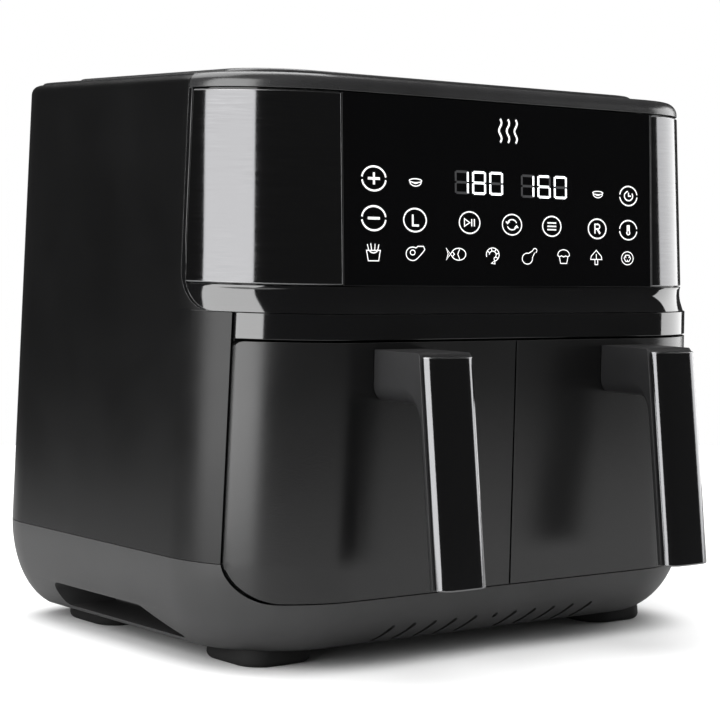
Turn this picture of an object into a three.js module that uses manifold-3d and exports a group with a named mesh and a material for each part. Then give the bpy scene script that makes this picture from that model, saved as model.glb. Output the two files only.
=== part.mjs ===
// Air fryer with two side-by-side drawers, built as an assembly of separate closed solids.
// Millimetres, +Z up. The drawers face -Y, X runs across the front, and the origin is the
// middle of the footprint on the worktop.
import * as THREE from "three";
import { mergeVertices } from "three/addons/utils/BufferGeometryUtils.js";
import Module from "manifold-3d";

const wasm = await Module();
wasm.setup();

// ---------------------------------------------------------------- Driving dimensions
// Overall
const WIDTH = 362; // across the sides at the seam between shell and base
const HEIGHT = 318; // worktop to the top of the lid's raised pad
const BODY_DEPTH = 266; // drawer faces to the rear wall at the seam
const HANDLE_REACH = 59; // drawer face to the foremost point of a handle
const REAR_STANDOFF = 9; // rear wall to the end of the wall spacers
const GAP = 0.3; // between pieces that rest on each other

// Outer skin
const SEAM_Z = 58; // top edge of the base
const SIDE_LEAN = 5.6; // how far a side wall leans in between the seam and the lid
const FRONT_CORNER = 71;
const HEAD_CORNER = 61;
const REAR_CORNER = 42;
const SHELL_WALL = 2.5;
const SHELL_ROUND = 5; // round-over along the shell's top edge
const SHELL_LIP = 6; // width of the shell's roof edge, which carries the lid
const BASE_WALL = 3;
const BASE_SIDE_TUCK = 32; // how far the hull of the base would curve in at each side
const BASE_FRONT_TUCK = 42;
const BASE_REAR_TUCK = 28;
const BASE_CURVE_SPARE = 3; // the hull's curve ends this far below the base's flat floor
const HULL_STEPS = 7;
const FRONT_ARC_STEPS = 9;
const REAR_ARC_STEPS = 6;

// Head with the control panel
const PAD_RISE = 3.5; // lid pad above the lid
const LID_RISE = 1.5; // lid above the shell
const RIM_HEIGHT = 7.5; // lid rim over the glass, below the shell's top
const RIM_ROUND = 7;
const PAD_INSET = 40;
const GLASS_HEIGHT = 101.5;
const GLASS_THICKNESS = 3;
const PANEL_WRAP = 65.6; // width of a steel panel from the widest side, along X
const SKIRT_HEIGHT = 14.5; // cove below the glass
const BAND_HEIGHT = 13.5;
const BAND_BULGE = 1.2;
const GLASS_SETBACK = 9.4; // bottom edge of the glass behind the drawer faces
const GLASS_LEAN = 5.4; // top edge of the glass behind its bottom edge
const HEAD_DEPTH = 69; // head bezel, drawer face to its rear edge
const HEAD_ROUND = 22; // lower rear corner of the head bezel
const BEZEL_BORDER = 2.6; // bezel edge left round the glass and steel
const BEZEL_WALL = 4.5;
const DISPLAY_SIZE = [64, 34];
const DISPLAY_CENTRE = 42; // from the middle of the panel
const DISPLAY_TOP = 24; // below the top of the glass
const DISPLAY_THICKNESS = 7;
const TOUCH_BOARD_EDGE = 9; // board edge inside the glass edge
const BOARD_THICKNESS = 1.6;

// Drawers
const CHIN_HEIGHT = 30; // base below the drawers, above its floor
const FOOT_HEIGHT = 9;
const DRAWER_GAP = 1.3; // shut line round a drawer
const DRAWER_WRAP = 10.5; // outer edge of a drawer face inside the widest side
const DRAWER_RETURN = 35; // how far a face wraps back round the corner
const DRAWER_WALL = 4;
const DRAWER_CORNER = 21;
const DRAWER_SMALL_CORNER = 3;
const CARRIER_THICKNESS = 2;
const FRAME_THICKNESS = 3;
const MOUTH_MARGIN = 6; // frame left round a basket mouth
const CAVITY_SIDE_SPACE = 18; // insulation space beside a cavity
const CAVITY_REAR_SPACE = 24;
const CAVITY_FLOOR_DROP = 5; // cavity floor below the basket
const CAVITY_HEADROOM = 46; // heater and fan space above the basket
const CAVITY_SHEET = 1.2;
const CAVITY_CORNER = 16;
const CENTRE_GAP = 12; // between the two cavities
const BASKET_CLEARANCE = 3.5;
const BASKET_WALL = 1.6;
const BASKET_DRAFT = 5;
const BASKET_CORNER = 30;
const BASKET_FRONT_SPACE = 6; // basket behind its carrier plate
const BASKET_RIM_DROP = 14; // basket rim below the top of the drawer face
const BASKET_LIFT = 11; // basket underside above the bottom of the drawer face
const BASKET_HEEL = 6; // rounded edge between a basket's floor and its walls
const PLATE_THICKNESS = 1.6;
const PLATE_HEIGHT = 12; // crisper plate above the basket floor
const PLATE_CLEARANCE = 2.2;
const PLATE_SLOT = [22, 5];
const PLATE_SLOT_PITCH = [30, 15];
const BUMPER_SIZE = [26, 3.6, 9];
const BUMPER_LIFT = 1; // middle of a bumper above the middle of the plate

// Handles
const HANDLE_CENTRE_SHIFT = 1.7; // handle axis inside the middle of its drawer face
const ARM_WIDTH = 35.5;
const ARM_TOP_DROP = 3.5; // arm below the top of the drawer face
const ARM_HEIGHT = 27;
const ARM_ROUND = 9;
const GRIP_WIDTH = 33;
const GRIP_TOP_DROP = 5;
const GRIP_BOTTOM_RISE = 12; // end of the grip above the bottom of the drawer face
const GRIP_LEAN = 15.5; // how far the grip leans out towards its end
const GRIP_BACK = 7;
const INSERT_THICKNESS = 6.5;
const INSERT_CROWN = 4;
const SCREW_RADIUS = 2;
const SCREW_HEAD_RADIUS = 3.6;
const SCREW_HEAD_LENGTH = 2.4;
const SCREW_GRIP = 14;
const SCREW_DROPS = [7, 17]; // below the top of the arm

// Heaters and fans
const ELEMENT_RADIUS = 3;
const ELEMENT_LOOP_STEP = 20; // inner loop inside the outer one
const ELEMENT_CLEARANCE = 8; // outer loop outside the fan, so that its ends pass the blades
const ELEMENT_MOUTH = 20; // half of the opening in the outer loop, in degrees
const ELEMENT_STEP = 20; // degrees between the points of a loop
const GUARD_EDGE = 6; // guard outside the outer loop
const GUARD_THICKNESS = 1.2;
const GUARD_DROP = 40; // guard below the cavity roof
const GUARD_SPOKES = 12;
const GUARD_SLOT_SHARES = [[0.22, 0.55], [0.62, 0.92]]; // ends of a slot, as shares of the radius
const GUARD_SLOT_SPREAD = 0.13; // half width of a slot, in radians
const ELEMENT_DROP = 31;
const FAN_RADIUS = 52;
const FAN_HEIGHT = 13;
const FAN_DROP = 22;
const FAN_BLADES = 8;
const BLADE_THICKNESS = 1.6;
const HUB_SHARE = 0.3; // hub radius as a share of the wheel's radius
const SHAFT_RADIUS = 2.5;
const SHAFT_CLEARANCE = 0.4;
const SHAFT_TAIL = 2; // shaft below the convection fan
const SHAFT_STOP = 4; // top end of the shaft below the top of the motor
const COOLER_RADIUS = 36;
const COOLER_HEIGHT = 8;
const COOLER_BLADES = 6;
const COOLER_LIFT = 4; // cooling fan above the cavity roof
const MOTOR_RADIUS = 25;
const MOTOR_HEIGHT = 24;
const MOTOR_CHAMFER = 2;
const MOTOR_NECK = 8; // bearing housing at the top, inside the motor's radius
const BRACKET_HEIGHT = 20;
const BRACKET_SPAN = 96;
const BRACKET_DEPTH = 34;
const BRACKET_SHEET = 1.5;

// Base, rear and small parts
const FOOT_SIZE = [46, 50];
const FOOT_ROUND = 14;
const FOOT_CENTRE_INSET = [54, 62]; // from the widest side and from the drawer face or rear wall
const FOOT_TALL = 17;
const RECESS_LENGTH = 108;
const RECESS_START = 82; // from the drawer faces
const RECESS_TOP_Z = 26;
const RECESS_DEPTH = 33;
const RECESS_ROUND = 12;
const VENT_COUNT = 11;
const VENT_PITCH = 15;
const VENT_SIZE = [3.2, 20];
const VENT_TILT = 0.6;
const GRILLE_SIZE = [190, 74];
const GRILLE_TOP_DROP = 26;
const GRILLE_THICKNESS = 4;
const GRILLE_BARS = 9;
const GRILLE_BORDER = 8;
const GRILLE_SLOT_SHARE = 0.56; // open part of the pitch of the bars
const SPACER_SIZE = [22, 16];
const SPACER_CENTRE = [120, 120];
const GLAND_PLACE = [118, 18]; // from the middle, and above the seam
const GLAND_RADIUS = 8;
const GLAND_BORE = 3.6;
const GLAND_FLANGE = [11, 3];
const POWER_BOARD_SIZE = [88, 112];
const POWER_BOARD_LIFT = 4; // above the motor brackets
// Parts soldered on the power board: start from its middle and its front edge, size, height.
const BOARD_PARTS = [
  { start: [-30, 12], size: [34, 32], tall: 26 }, // transformer
  { start: [-32, 60], size: [28, 36], tall: 20 }, // heat sink
  { start: [14, 16], size: [20, 14], tall: 16 }, // relays
  { start: [14, 36], size: [20, 14], tall: 16 },
  { start: [14, 56], size: [20, 14], tall: 16 },
];
const SENSOR_SIZE = [3, 20];

// ---------------------------------------------------------------- Places that follow from them
const TOTAL_DEPTH = HANDLE_REACH + BODY_DEPTH + REAR_STANDOFF;
const FACE_Y = HANDLE_REACH - TOTAL_DEPTH / 2; // plane of the drawer faces
const REAR_Y = FACE_Y + BODY_DEPTH;
const LID_TOP_Z = HEIGHT - PAD_RISE;
const SHELL_TOP_Z = LID_TOP_Z - LID_RISE;
const GLASS_TOP_Z = SHELL_TOP_Z - RIM_HEIGHT;
const GLASS_BOTTOM_Z = GLASS_TOP_Z - GLASS_HEIGHT;
const CREASE_Z = GLASS_BOTTOM_Z - SKIRT_HEIGHT;
const BAND_BOTTOM_Z = CREASE_Z - BAND_HEIGHT;
const DRAWER_TOP_Z = BAND_BOTTOM_Z - DRAWER_GAP;
const DRAWER_BOTTOM_Z = FOOT_HEIGHT + CHIN_HEIGHT;
const FLOOR_Z = FOOT_HEIGHT;
const HALF = WIDTH / 2;
const DRAWER_OUTER_X = HALF - DRAWER_WRAP;
const DRAWER_INNER_X = DRAWER_GAP / 2;
const GLASS_HALF = HALF - PANEL_WRAP;
const FRAME_Y = FACE_Y + DRAWER_RETURN + DRAWER_GAP;
const CAVITY_FRONT_Y = FRAME_Y + FRAME_THICKNESS + GAP;
const CAVITY_REAR_Y = REAR_Y - CAVITY_REAR_SPACE;
const CAVITY_INNER_X = CENTRE_GAP / 2;
const CAVITY_OUTER_X = HALF - CAVITY_SIDE_SPACE;
const BASKET_BOTTOM_Z = DRAWER_BOTTOM_Z + BASKET_LIFT;
const BASKET_TOP_Z = DRAWER_TOP_Z - BASKET_RIM_DROP;
const CAVITY_BOTTOM_Z = BASKET_BOTTOM_Z - CAVITY_FLOOR_DROP;
const CAVITY_TOP_Z = BASKET_TOP_Z + CAVITY_HEADROOM;
const CAVITY_X = (CAVITY_INNER_X + CAVITY_OUTER_X) / 2;
const CAVITY_Y = (CAVITY_FRONT_Y + CAVITY_REAR_Y) / 2;
const CARRIER_Y = FACE_Y + DRAWER_WALL + GAP;
const BASKET_FRONT_Y = CARRIER_Y + CARRIER_THICKNESS + BASKET_FRONT_SPACE;
const CAVITY_SKIN_INSET = BEZEL_WALL + 2 * GAP; // nearest that a cavity comes to the body's skin
const BASKET_SKIN_INSET = CAVITY_SKIN_INSET + CAVITY_SHEET + GAP;
const BASKET_REAR_Y = CAVITY_REAR_Y - CAVITY_SHEET - BASKET_CLEARANCE;
const BASKET_INNER_X = CAVITY_INNER_X + CAVITY_SHEET + BASKET_CLEARANCE;
const BASKET_OUTER_X = CAVITY_OUTER_X - CAVITY_SHEET - BASKET_CLEARANCE;
const HANDLE_X = (DRAWER_INNER_X + DRAWER_OUTER_X) / 2 - HANDLE_CENTRE_SHIFT;
const ARM_TOP_Z = DRAWER_TOP_Z - ARM_TOP_DROP;
const GRIP_TOP_Z = DRAWER_TOP_Z - GRIP_TOP_DROP;
const GRIP_BOTTOM_Z = DRAWER_BOTTOM_Z + GRIP_BOTTOM_RISE;
const GRIP_ANGLE = Math.atan2(GRIP_LEAN, GRIP_TOP_Z - GRIP_BOTTOM_Z);
const ROOF_Z = CAVITY_TOP_Z;
const ELEMENT_OUTER = FAN_RADIUS + ELEMENT_CLEARANCE;
const ELEMENT_COIL = [ELEMENT_OUTER - ELEMENT_LOOP_STEP, ELEMENT_OUTER];
const GUARD_RADIUS = ELEMENT_OUTER + GUARD_EDGE;
const GLAND_CENTRE = [GLAND_PLACE[0], SEAM_Z + GLAND_PLACE[1]];
const DISPLAY_HIGH_Z = GLASS_TOP_Z - DISPLAY_TOP;
const DISPLAY_LOW_Z = DISPLAY_HIGH_Z - DISPLAY_SIZE[1];
const GRILLE_TOP_Z = SHELL_TOP_Z - GRILLE_TOP_DROP;
const GRILLE_BOTTOM_Z = GRILLE_TOP_Z - GRILLE_SIZE[1];
const FAN_LOW_Z = ROOF_Z - FAN_DROP;
const COOLER_LOW_Z = ROOF_Z + COOLER_LIFT;
const BRACKET_TOP_Z = ROOF_Z + GAP + BRACKET_HEIGHT;
const MOTOR_LOW_Z = BRACKET_TOP_Z + GAP;
const PLATE_Z = BASKET_BOTTOM_Z + BASKET_WALL + PLATE_HEIGHT;
const SENSOR_Z = ROOF_Z - GUARD_DROP - SENSOR_SIZE[0] * 3;
const SENSOR_X = CAVITY_X + GUARD_RADIUS / 2;
const BASKET_X = (BASKET_INNER_X + BASKET_OUTER_X) / 2;
const BASKET_Y = (BASKET_FRONT_Y + BASKET_REAR_Y) / 2;
const SIDES = [["left", -1], ["right", 1]];

// ---------------------------------------------------------------- Shape helpers
const ACROSS = new THREE.Matrix4().makeBasis(
  new THREE.Vector3(0, 1, 0), new THREE.Vector3(0, 0, 1), new THREE.Vector3(1, 0, 0));

function solidOf(geometry) {
  const bare = geometry.index ? geometry.toNonIndexed() : geometry.clone();
  bare.deleteAttribute("normal");
  bare.deleteAttribute("uv");
  const merged = mergeVertices(bare, 1e-4);
  return new wasm.Manifold(new wasm.Mesh({
    numProp: 3,
    vertProperties: merged.attributes.position.array,
    triVerts: merged.index.array,
  }));
}

function geometryOf(solid) {
  const { vertProperties, triVerts } = solid.getMesh();
  const indexed = new THREE.BufferGeometry()
    .setAttribute("position", new THREE.BufferAttribute(vertProperties, 3))
    .setIndex(new THREE.BufferAttribute(triVerts, 1));
  const geometry = indexed.toNonIndexed();
  geometry.computeVertexNormals();
  return geometry;
}

const uniteAll = (solids) => solids.reduce((whole, next) => whole.add(next));
const cutAll = (solid, cutters) => cutters.reduce((rest, cutter) => rest.subtract(cutter), solid);

function box(low, high) {
  const size = high.map((value, axis) => value - low[axis]);
  const centre = high.map((value, axis) => (value + low[axis]) / 2);
  return solidOf(new THREE.BoxGeometry(...size).translate(...centre));
}

// A box given for the right-hand side, or its mirror image on the left.
function sideBox(side, low, high) {
  const xs = [low[0] * side, high[0] * side].sort((a, b) => a - b);
  return box([xs[0], low[1], low[2]], [xs[1], high[1], high[2]]);
}

function extrudeUp(shape, bottom, top, curveSegments = 6) {
  const options = { depth: top - bottom, bevelEnabled: false, curveSegments };
  return solidOf(new THREE.ExtrudeGeometry(shape, options).translate(0, 0, bottom));
}

// The shape is drawn in X and Z and extruded between two Y planes.
function extrudeBack(shape, front, back, curveSegments = 6) {
  const options = { depth: back - front, bevelEnabled: false, curveSegments };
  return solidOf(new THREE.ExtrudeGeometry(shape, options)
    .rotateX(Math.PI / 2).translate(0, back, 0));
}

// The shape is drawn in Y and Z and extruded between two X planes.
function extrudeAcross(shape, start, end, curveSegments = 6) {
  const options = { depth: end - start, bevelEnabled: false, curveSegments };
  return solidOf(new THREE.ExtrudeGeometry(shape, options)
    .applyMatrix4(ACROSS).translate(start, 0, 0));
}

// Rounded rectangle; radii run anticlockwise from the low corner.
function roundedShape([x0, y0], [x1, y1], [ra, rb, rc, rd]) {
  const shape = new THREE.Shape();
  shape.moveTo(x0 + ra, y0);
  shape.lineTo(x1 - rb, y0);
  shape.absarc(x1 - rb, y0 + rb, rb, -Math.PI / 2, 0);
  shape.lineTo(x1, y1 - rc);
  shape.absarc(x1 - rc, y1 - rc, rc, 0, Math.PI / 2);
  shape.lineTo(x0 + rd, y1);
  shape.absarc(x0 + rd, y1 - rd, rd, Math.PI / 2, Math.PI);
  shape.lineTo(x0, y0 + ra);
  shape.absarc(x0 + ra, y0 + ra, ra, Math.PI, Math.PI * 1.5);
  return shape;
}

function tube(centre, radius, bottom, top, segments = 20) {
  const geometry = new THREE.CylinderGeometry(radius, radius, top - bottom, segments)
    .rotateX(Math.PI / 2).translate(centre[0], centre[1], (bottom + top) / 2);
  return solidOf(geometry);
}

// A pin along Y.
function pinBack(x, z, radius, front, back, segments = 12) {
  const geometry = new THREE.CylinderGeometry(radius, radius, back - front, segments)
    .translate(x, (front + back) / 2, z);
  return solidOf(geometry);
}

// Plan outline with its own corner radii at the front and the rear.
function planOutline(left, right, front, back, frontRadius, rearRadius) {
  const corners = [
    [left + frontRadius, front + frontRadius, frontRadius, Math.PI, FRONT_ARC_STEPS],
    [right - frontRadius, front + frontRadius, frontRadius, Math.PI * 1.5, FRONT_ARC_STEPS],
    [right - rearRadius, back - rearRadius, rearRadius, 0, REAR_ARC_STEPS],
    [left + rearRadius, back - rearRadius, rearRadius, Math.PI / 2, REAR_ARC_STEPS],
  ];
  return corners.flatMap(([x, y, radius, start, steps]) =>
    Array.from({ length: steps + 1 }, (_, step) => {
      const angle = start + (step / steps) * (Math.PI / 2);
      return new THREE.Vector2(x + radius * Math.cos(angle), y + radius * Math.sin(angle));
    }));
}

// A solid through outlines of equal point counts, one for each level, from the bottom up.
function loft(levels) {
  const last = levels.length - 1;
  const first = levels[0].outline;
  const options = { depth: last, steps: last, bevelEnabled: false };
  const geometry = new THREE.ExtrudeGeometry(new THREE.Shape(first), options);
  const position = geometry.attributes.position;
  for (let i = 0; i < position.count; i += 1) {
    const here = new THREE.Vector2(position.getX(i), position.getY(i));
    const distances = first.map((point) => point.distanceTo(here));
    const level = levels[Math.round(position.getZ(i))];
    const point = level.outline[distances.indexOf(Math.min(...distances))];
    position.setXYZ(i, point.x, point.y, level.z);
  }
  return solidOf(geometry);
}

// ---------------------------------------------------------------- The body's skin
const HULL_HEIGHT = SEAM_Z - FLOOR_Z + BASE_CURVE_SPARE;
const HULL_ANGLE = Math.asin((SEAM_Z - FLOOR_Z) / HULL_HEIGHT);

function faceSetback(z) {
  if (z <= CREASE_Z) return 0;
  if (z < GLASS_BOTTOM_Z) {
    const up = (z - CREASE_Z) / SKIRT_HEIGHT;
    return BAND_BULGE + (GLASS_SETBACK - BAND_BULGE) * Math.sin(up * Math.PI / 2);
  }
  return GLASS_SETBACK + GLASS_LEAN * (z - GLASS_BOTTOM_Z) / GLASS_HEIGHT;
}

function frontCorner(z) {
  const up = THREE.MathUtils.clamp((z - CREASE_Z) / SKIRT_HEIGHT, 0, 1);
  return THREE.MathUtils.lerp(FRONT_CORNER, HEAD_CORNER, up);
}

function skinLevel(z, inset) {
  const drop = Math.max(SEAM_Z - z, 0) / HULL_HEIGHT;
  const tuck = 1 - Math.sqrt(1 - drop * drop);
  const lean = SIDE_LEAN * Math.max(z - SEAM_Z, 0) / (SHELL_TOP_Z - SEAM_Z);
  const half = HALF - lean - BASE_SIDE_TUCK * tuck - inset;
  const front = FACE_Y + faceSetback(z) + BASE_FRONT_TUCK * tuck + inset;
  const back = REAR_Y - lean - BASE_REAR_TUCK * tuck - inset;
  const frontRadius = frontCorner(z) - BASE_SIDE_TUCK * tuck - inset;
  const rearRadius = REAR_CORNER - BASE_REAR_TUCK * tuck - inset;
  return { z, outline: planOutline(-half, half, front, back, frontRadius, rearRadius) };
}

const HULL_LEVELS = Array.from({ length: HULL_STEPS }, (_, step) =>
  SEAM_Z - HULL_HEIGHT * Math.sin(HULL_ANGLE * (1 - step / HULL_STEPS)));
const COVE_LEVELS = [0.02, 0.3, 0.6].map((up) => CREASE_Z + SKIRT_HEIGHT * up);
const SKIN_LEVELS = [...HULL_LEVELS, SEAM_Z, CREASE_Z, ...COVE_LEVELS, GLASS_BOTTOM_Z];

// The body's skin, moved inwards, between two heights.
function skin(inset, bottom, top) {
  const between = SKIN_LEVELS.filter((z) => z > bottom + 0.1 && z < top - 0.1);
  return loft([bottom, ...between, top].map((z) =>
    skinLevel(z, typeof inset === "function" ? inset(z) : inset)));
}

// ---------------------------------------------------------------- Regions shared by the casings
const FAR = WIDTH + BODY_DEPTH + HEIGHT; // past every piece

function headRegion(shrink) {
  const rear = FACE_Y + HEAD_DEPTH - shrink;
  const low = CREASE_Z + shrink;
  const outline = roundedShape([FACE_Y - FAR, low], [rear, FAR], [1, HEAD_ROUND, 1, 1]);
  return extrudeAcross(outline, -FAR, FAR);
}

function drawerOutline(side, grow) {
  const outer = DRAWER_OUTER_X + grow;
  const inner = DRAWER_INNER_X - grow;
  const low = DRAWER_BOTTOM_Z - grow;
  const high = DRAWER_TOP_Z + grow;
  const round = DRAWER_CORNER + grow;
  const small = DRAWER_SMALL_CORNER;
  if (side > 0) return roundedShape([inner, low], [outer, high], [1, round, small, 1]);
  return roundedShape([-outer, low], [-inner, high], [round, 1, 1, small]);
}

function frontOpening() {
  const back = FRAME_Y + FRAME_THICKNESS + GAP;
  const drawers = SIDES.map(([, side]) =>
    extrudeBack(drawerOutline(side, DRAWER_GAP), FACE_Y - HANDLE_REACH, back));
  const half = DRAWER_OUTER_X + DRAWER_GAP;
  const band = box([-half, FACE_Y - HANDLE_REACH, DRAWER_TOP_Z], [half, back, CREASE_Z + GAP]);
  const middle = box([-DRAWER_GAP * 2, FACE_Y - HANDLE_REACH, DRAWER_BOTTOM_Z - DRAWER_GAP],
    [DRAWER_GAP * 2, back, DRAWER_TOP_Z]);
  return uniteAll([...drawers, band, middle]);
}

function recess(side, grow) {
  const low = FLOOR_Z - FOOT_HEIGHT;
  const start = FACE_Y + RECESS_START - grow;
  const end = FACE_Y + RECESS_START + RECESS_LENGTH + grow;
  const round = RECESS_ROUND + grow;
  const outline = roundedShape([start, low], [end, RECESS_TOP_Z + grow], [1, 1, round, round]);
  const inner = HALF - BASE_SIDE_TUCK - RECESS_DEPTH / 2 - grow;
  return extrudeAcross(outline, side > 0 ? inner : -HALF - FAR, side > 0 ? HALF + FAR : -inner, 4);
}

// ---------------------------------------------------------------- Casings
function makeBase() {
  const hull = skin(0, FLOOR_Z, SEAM_Z);
  const pockets = SIDES.map(([, side]) => recess(side, BASE_WALL));
  const hollow = cutAll(skin(BASE_WALL, FLOOR_Z + BASE_WALL, SEAM_Z + BASE_WALL), pockets);
  const vents = Array.from({ length: VENT_COUNT }, (_, index) => {
    const x = (index - (VENT_COUNT - 1) / 2) * VENT_PITCH;
    const slot = new THREE.BoxGeometry(VENT_SIZE[0], BASE_FRONT_TUCK * 2, VENT_SIZE[1])
      .rotateY(VENT_TILT)
      .translate(x, FACE_Y, FLOOR_Z + BASE_WALL + VENT_SIZE[1] / 2);
    return solidOf(slot);
  });
  const recesses = SIDES.map(([, side]) => recess(side, 0));
  return cutAll(hull, [hollow, frontOpening(), ...vents, ...recesses]);
}

function makeShell() {
  const roundFrom = SHELL_TOP_Z - SHELL_ROUND;
  const rounded = (z) => {
    const up = Math.max(z - roundFrom, 0) / SHELL_ROUND;
    return SHELL_ROUND * (1 - Math.sqrt(1 - up * up)) * 0.9;
  };
  const low = SEAM_Z + GAP;
  const levels = [low, CREASE_Z, ...COVE_LEVELS, GLASS_BOTTOM_Z, roundFrom,
    roundFrom + SHELL_ROUND * 0.6, roundFrom + SHELL_ROUND * 0.9, SHELL_TOP_Z];
  const outside = loft(levels.map((z) => skinLevel(z, rounded(z))));
  const inside = skin(SHELL_WALL, SEAM_Z - GAP, SHELL_TOP_Z - SHELL_WALL);
  const roof = skin(SHELL_LIP, SHELL_TOP_Z - SHELL_ROUND * 2, SHELL_TOP_Z + GAP);
  const exhaust = box([-GRILLE_SIZE[0] / 2 + GRILLE_BORDER, REAR_Y - REAR_CORNER,
    GRILLE_BOTTOM_Z + GRILLE_BORDER],
  [GRILLE_SIZE[0] / 2 - GRILLE_BORDER, REAR_Y + GAP, GRILLE_TOP_Z - GRILLE_BORDER]);
  const inlet = pinBack(GLAND_CENTRE[0], GLAND_CENTRE[1], GLAND_RADIUS + GAP,
    REAR_Y - REAR_CORNER, REAR_Y + GAP, 20);
  return cutAll(outside, [inside, roof, exhaust, inlet, headRegion(0), frontOpening()]);
}

function makeLid() {
  const lidLow = SHELL_TOP_Z - SHELL_WALL;
  const inset = SHELL_LIP + GAP;
  const plate = loft([skinLevel(lidLow, inset), skinLevel(LID_TOP_Z, inset)]);
  const rimLow = GLASS_TOP_Z + GAP * 2;
  const rimRound = Math.min(RIM_ROUND, LID_TOP_Z - rimLow - 1);
  const rimLevels = [0, 0.35, 0.7, 0.92, 1].map((up) => {
    const z = LID_TOP_Z - rimRound * (1 - up);
    return skinLevel(z, rimRound * (1 - Math.sqrt(1 - up * up)) * 0.8);
  });
  const rim = loft([skinLevel(rimLow, 0), ...rimLevels])
    .intersect(box([-FAR, -FAR, 0], [FAR, FACE_Y + HEAD_DEPTH - GAP, FAR]))
    .subtract(loft([skinLevel(rimLow - GAP, BEZEL_WALL), skinLevel(lidLow, BEZEL_WALL)]));
  const pad = loft([
    skinLevel(LID_TOP_Z - 1, PAD_INSET),
    skinLevel(LID_TOP_Z + PAD_RISE * 0.5, PAD_INSET + 1),
    skinLevel(HEIGHT, PAD_INSET + PAD_RISE),
  ]);
  return uniteAll([plate, rim, pad]);
}

function makeBezel() {
  const top = GLASS_TOP_Z + GAP;
  const wall = skin(0, CREASE_Z, top).subtract(skin(BEZEL_WALL, CREASE_Z - GAP, top + GAP));
  const seat = skin(-GAP, GLASS_BOTTOM_Z - GAP, top + GAP)
    .subtract(skin(GLASS_THICKNESS + GAP, GLASS_BOTTOM_Z - 1, top + 1))
    .intersect(box([-FAR, -FAR, 0], [FAR, FACE_Y + HEAD_DEPTH - BEZEL_BORDER, FAR]));
  const windows = SIDES.map(([, side]) => sideBox(side,
    [DISPLAY_CENTRE - DISPLAY_SIZE[0] / 2 - 1, FACE_Y - GAP, DISPLAY_LOW_Z - 1],
    [DISPLAY_CENTRE + DISPLAY_SIZE[0] / 2 + 1, FACE_Y + HEAD_DEPTH / 2, DISPLAY_HIGH_Z + 1]));
  return cutAll(wall.intersect(headRegion(GAP)), [seat, ...windows]);
}

// A plate laid on the head: between two depths under the skin, cut to a box in X and Z.
function headPlate(outerInset, innerInset, [x0, z0], [x1, z1]) {
  return skin(outerInset, z0, z1)
    .subtract(skin(innerInset, z0 - GAP, z1 + GAP))
    .intersect(box([x0, FACE_Y - GAP, z0], [x1, FACE_Y + HEAD_DEPTH - BEZEL_BORDER - GAP, z1]));
}

function makeSteelPanel(side) {
  const edge = GLASS_HALF + GAP;
  const xs = side > 0 ? [edge, HALF] : [-HALF, -edge];
  return headPlate(0, GLASS_THICKNESS, [xs[0], GLASS_BOTTOM_Z], [xs[1], GLASS_TOP_Z]);
}

function makeDisplay(side) {
  const depth = GLASS_THICKNESS + GAP * 2;
  const low = DISPLAY_CENTRE - DISPLAY_SIZE[0] / 2;
  const high = DISPLAY_CENTRE + DISPLAY_SIZE[0] / 2;
  const xs = side > 0 ? [low, high] : [-high, -low];
  return headPlate(depth, depth + DISPLAY_THICKNESS, [xs[0], DISPLAY_LOW_Z],
    [xs[1], DISPLAY_HIGH_Z]);
}

function makeTouchBoard() {
  const depth = GLASS_THICKNESS + DISPLAY_THICKNESS + GAP * 4;
  const half = GLASS_HALF - TOUCH_BOARD_EDGE;
  return headPlate(depth, depth + BOARD_THICKNESS,
    [-half, GLASS_BOTTOM_Z + TOUCH_BOARD_EDGE], [half, GLASS_TOP_Z - TOUCH_BOARD_EDGE]);
}

function makeTrimBand() {
  const low = BAND_BOTTOM_Z;
  const high = CREASE_Z;
  const bulge = (z) => {
    const away = (2 * (z - low)) / (high - low) - 1;
    return BAND_BULGE * away * away;
  };
  const steps = [0, 0.15, 0.5, 0.85, 1].map((up) => low + (high - low) * up);
  const outside = loft(steps.map((z) => skinLevel(z, bulge(z))));
  const inside = skin(DRAWER_WALL, low - GAP, high + GAP);
  const half = DRAWER_OUTER_X;
  return outside.subtract(inside)
    .intersect(box([-half, FACE_Y - GAP, low], [half, FACE_Y + DRAWER_RETURN, high]));
}

function makeFrontFrame() {
  const slab = skin(BASE_WALL + GAP, DRAWER_BOTTOM_Z - DRAWER_GAP, CREASE_Z - GAP)
    .intersect(box([-HALF, FRAME_Y, 0], [HALF, FRAME_Y + FRAME_THICKNESS, HEIGHT]));
  const mouths = SIDES.map(([, side]) => sideBox(side,
    [BASKET_INNER_X - BASKET_CLEARANCE, FRAME_Y - GAP, BASKET_BOTTOM_Z - BASKET_CLEARANCE],
    [BASKET_OUTER_X + BASKET_CLEARANCE, CAVITY_FRONT_Y, BASKET_TOP_Z + MOUTH_MARGIN]));
  return cutAll(slab, mouths);
}

// ---------------------------------------------------------------- Cavities, heaters and fans
function cavityBlock(side, inset, bottom, top, front, back) {
  const inner = CAVITY_INNER_X + inset;
  const outer = CAVITY_OUTER_X - inset;
  const round = CAVITY_CORNER - inset;
  const left = side > 0 ? inner : -outer;
  const right = side > 0 ? outer : -inner;
  const outline = roundedShape([left, front], [right, back], [1, 1, round, round]);
  return extrudeUp(outline, bottom, top, 4)
    .intersect(skin(CAVITY_SKIN_INSET + inset, bottom - 1, top + 1));
}

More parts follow.
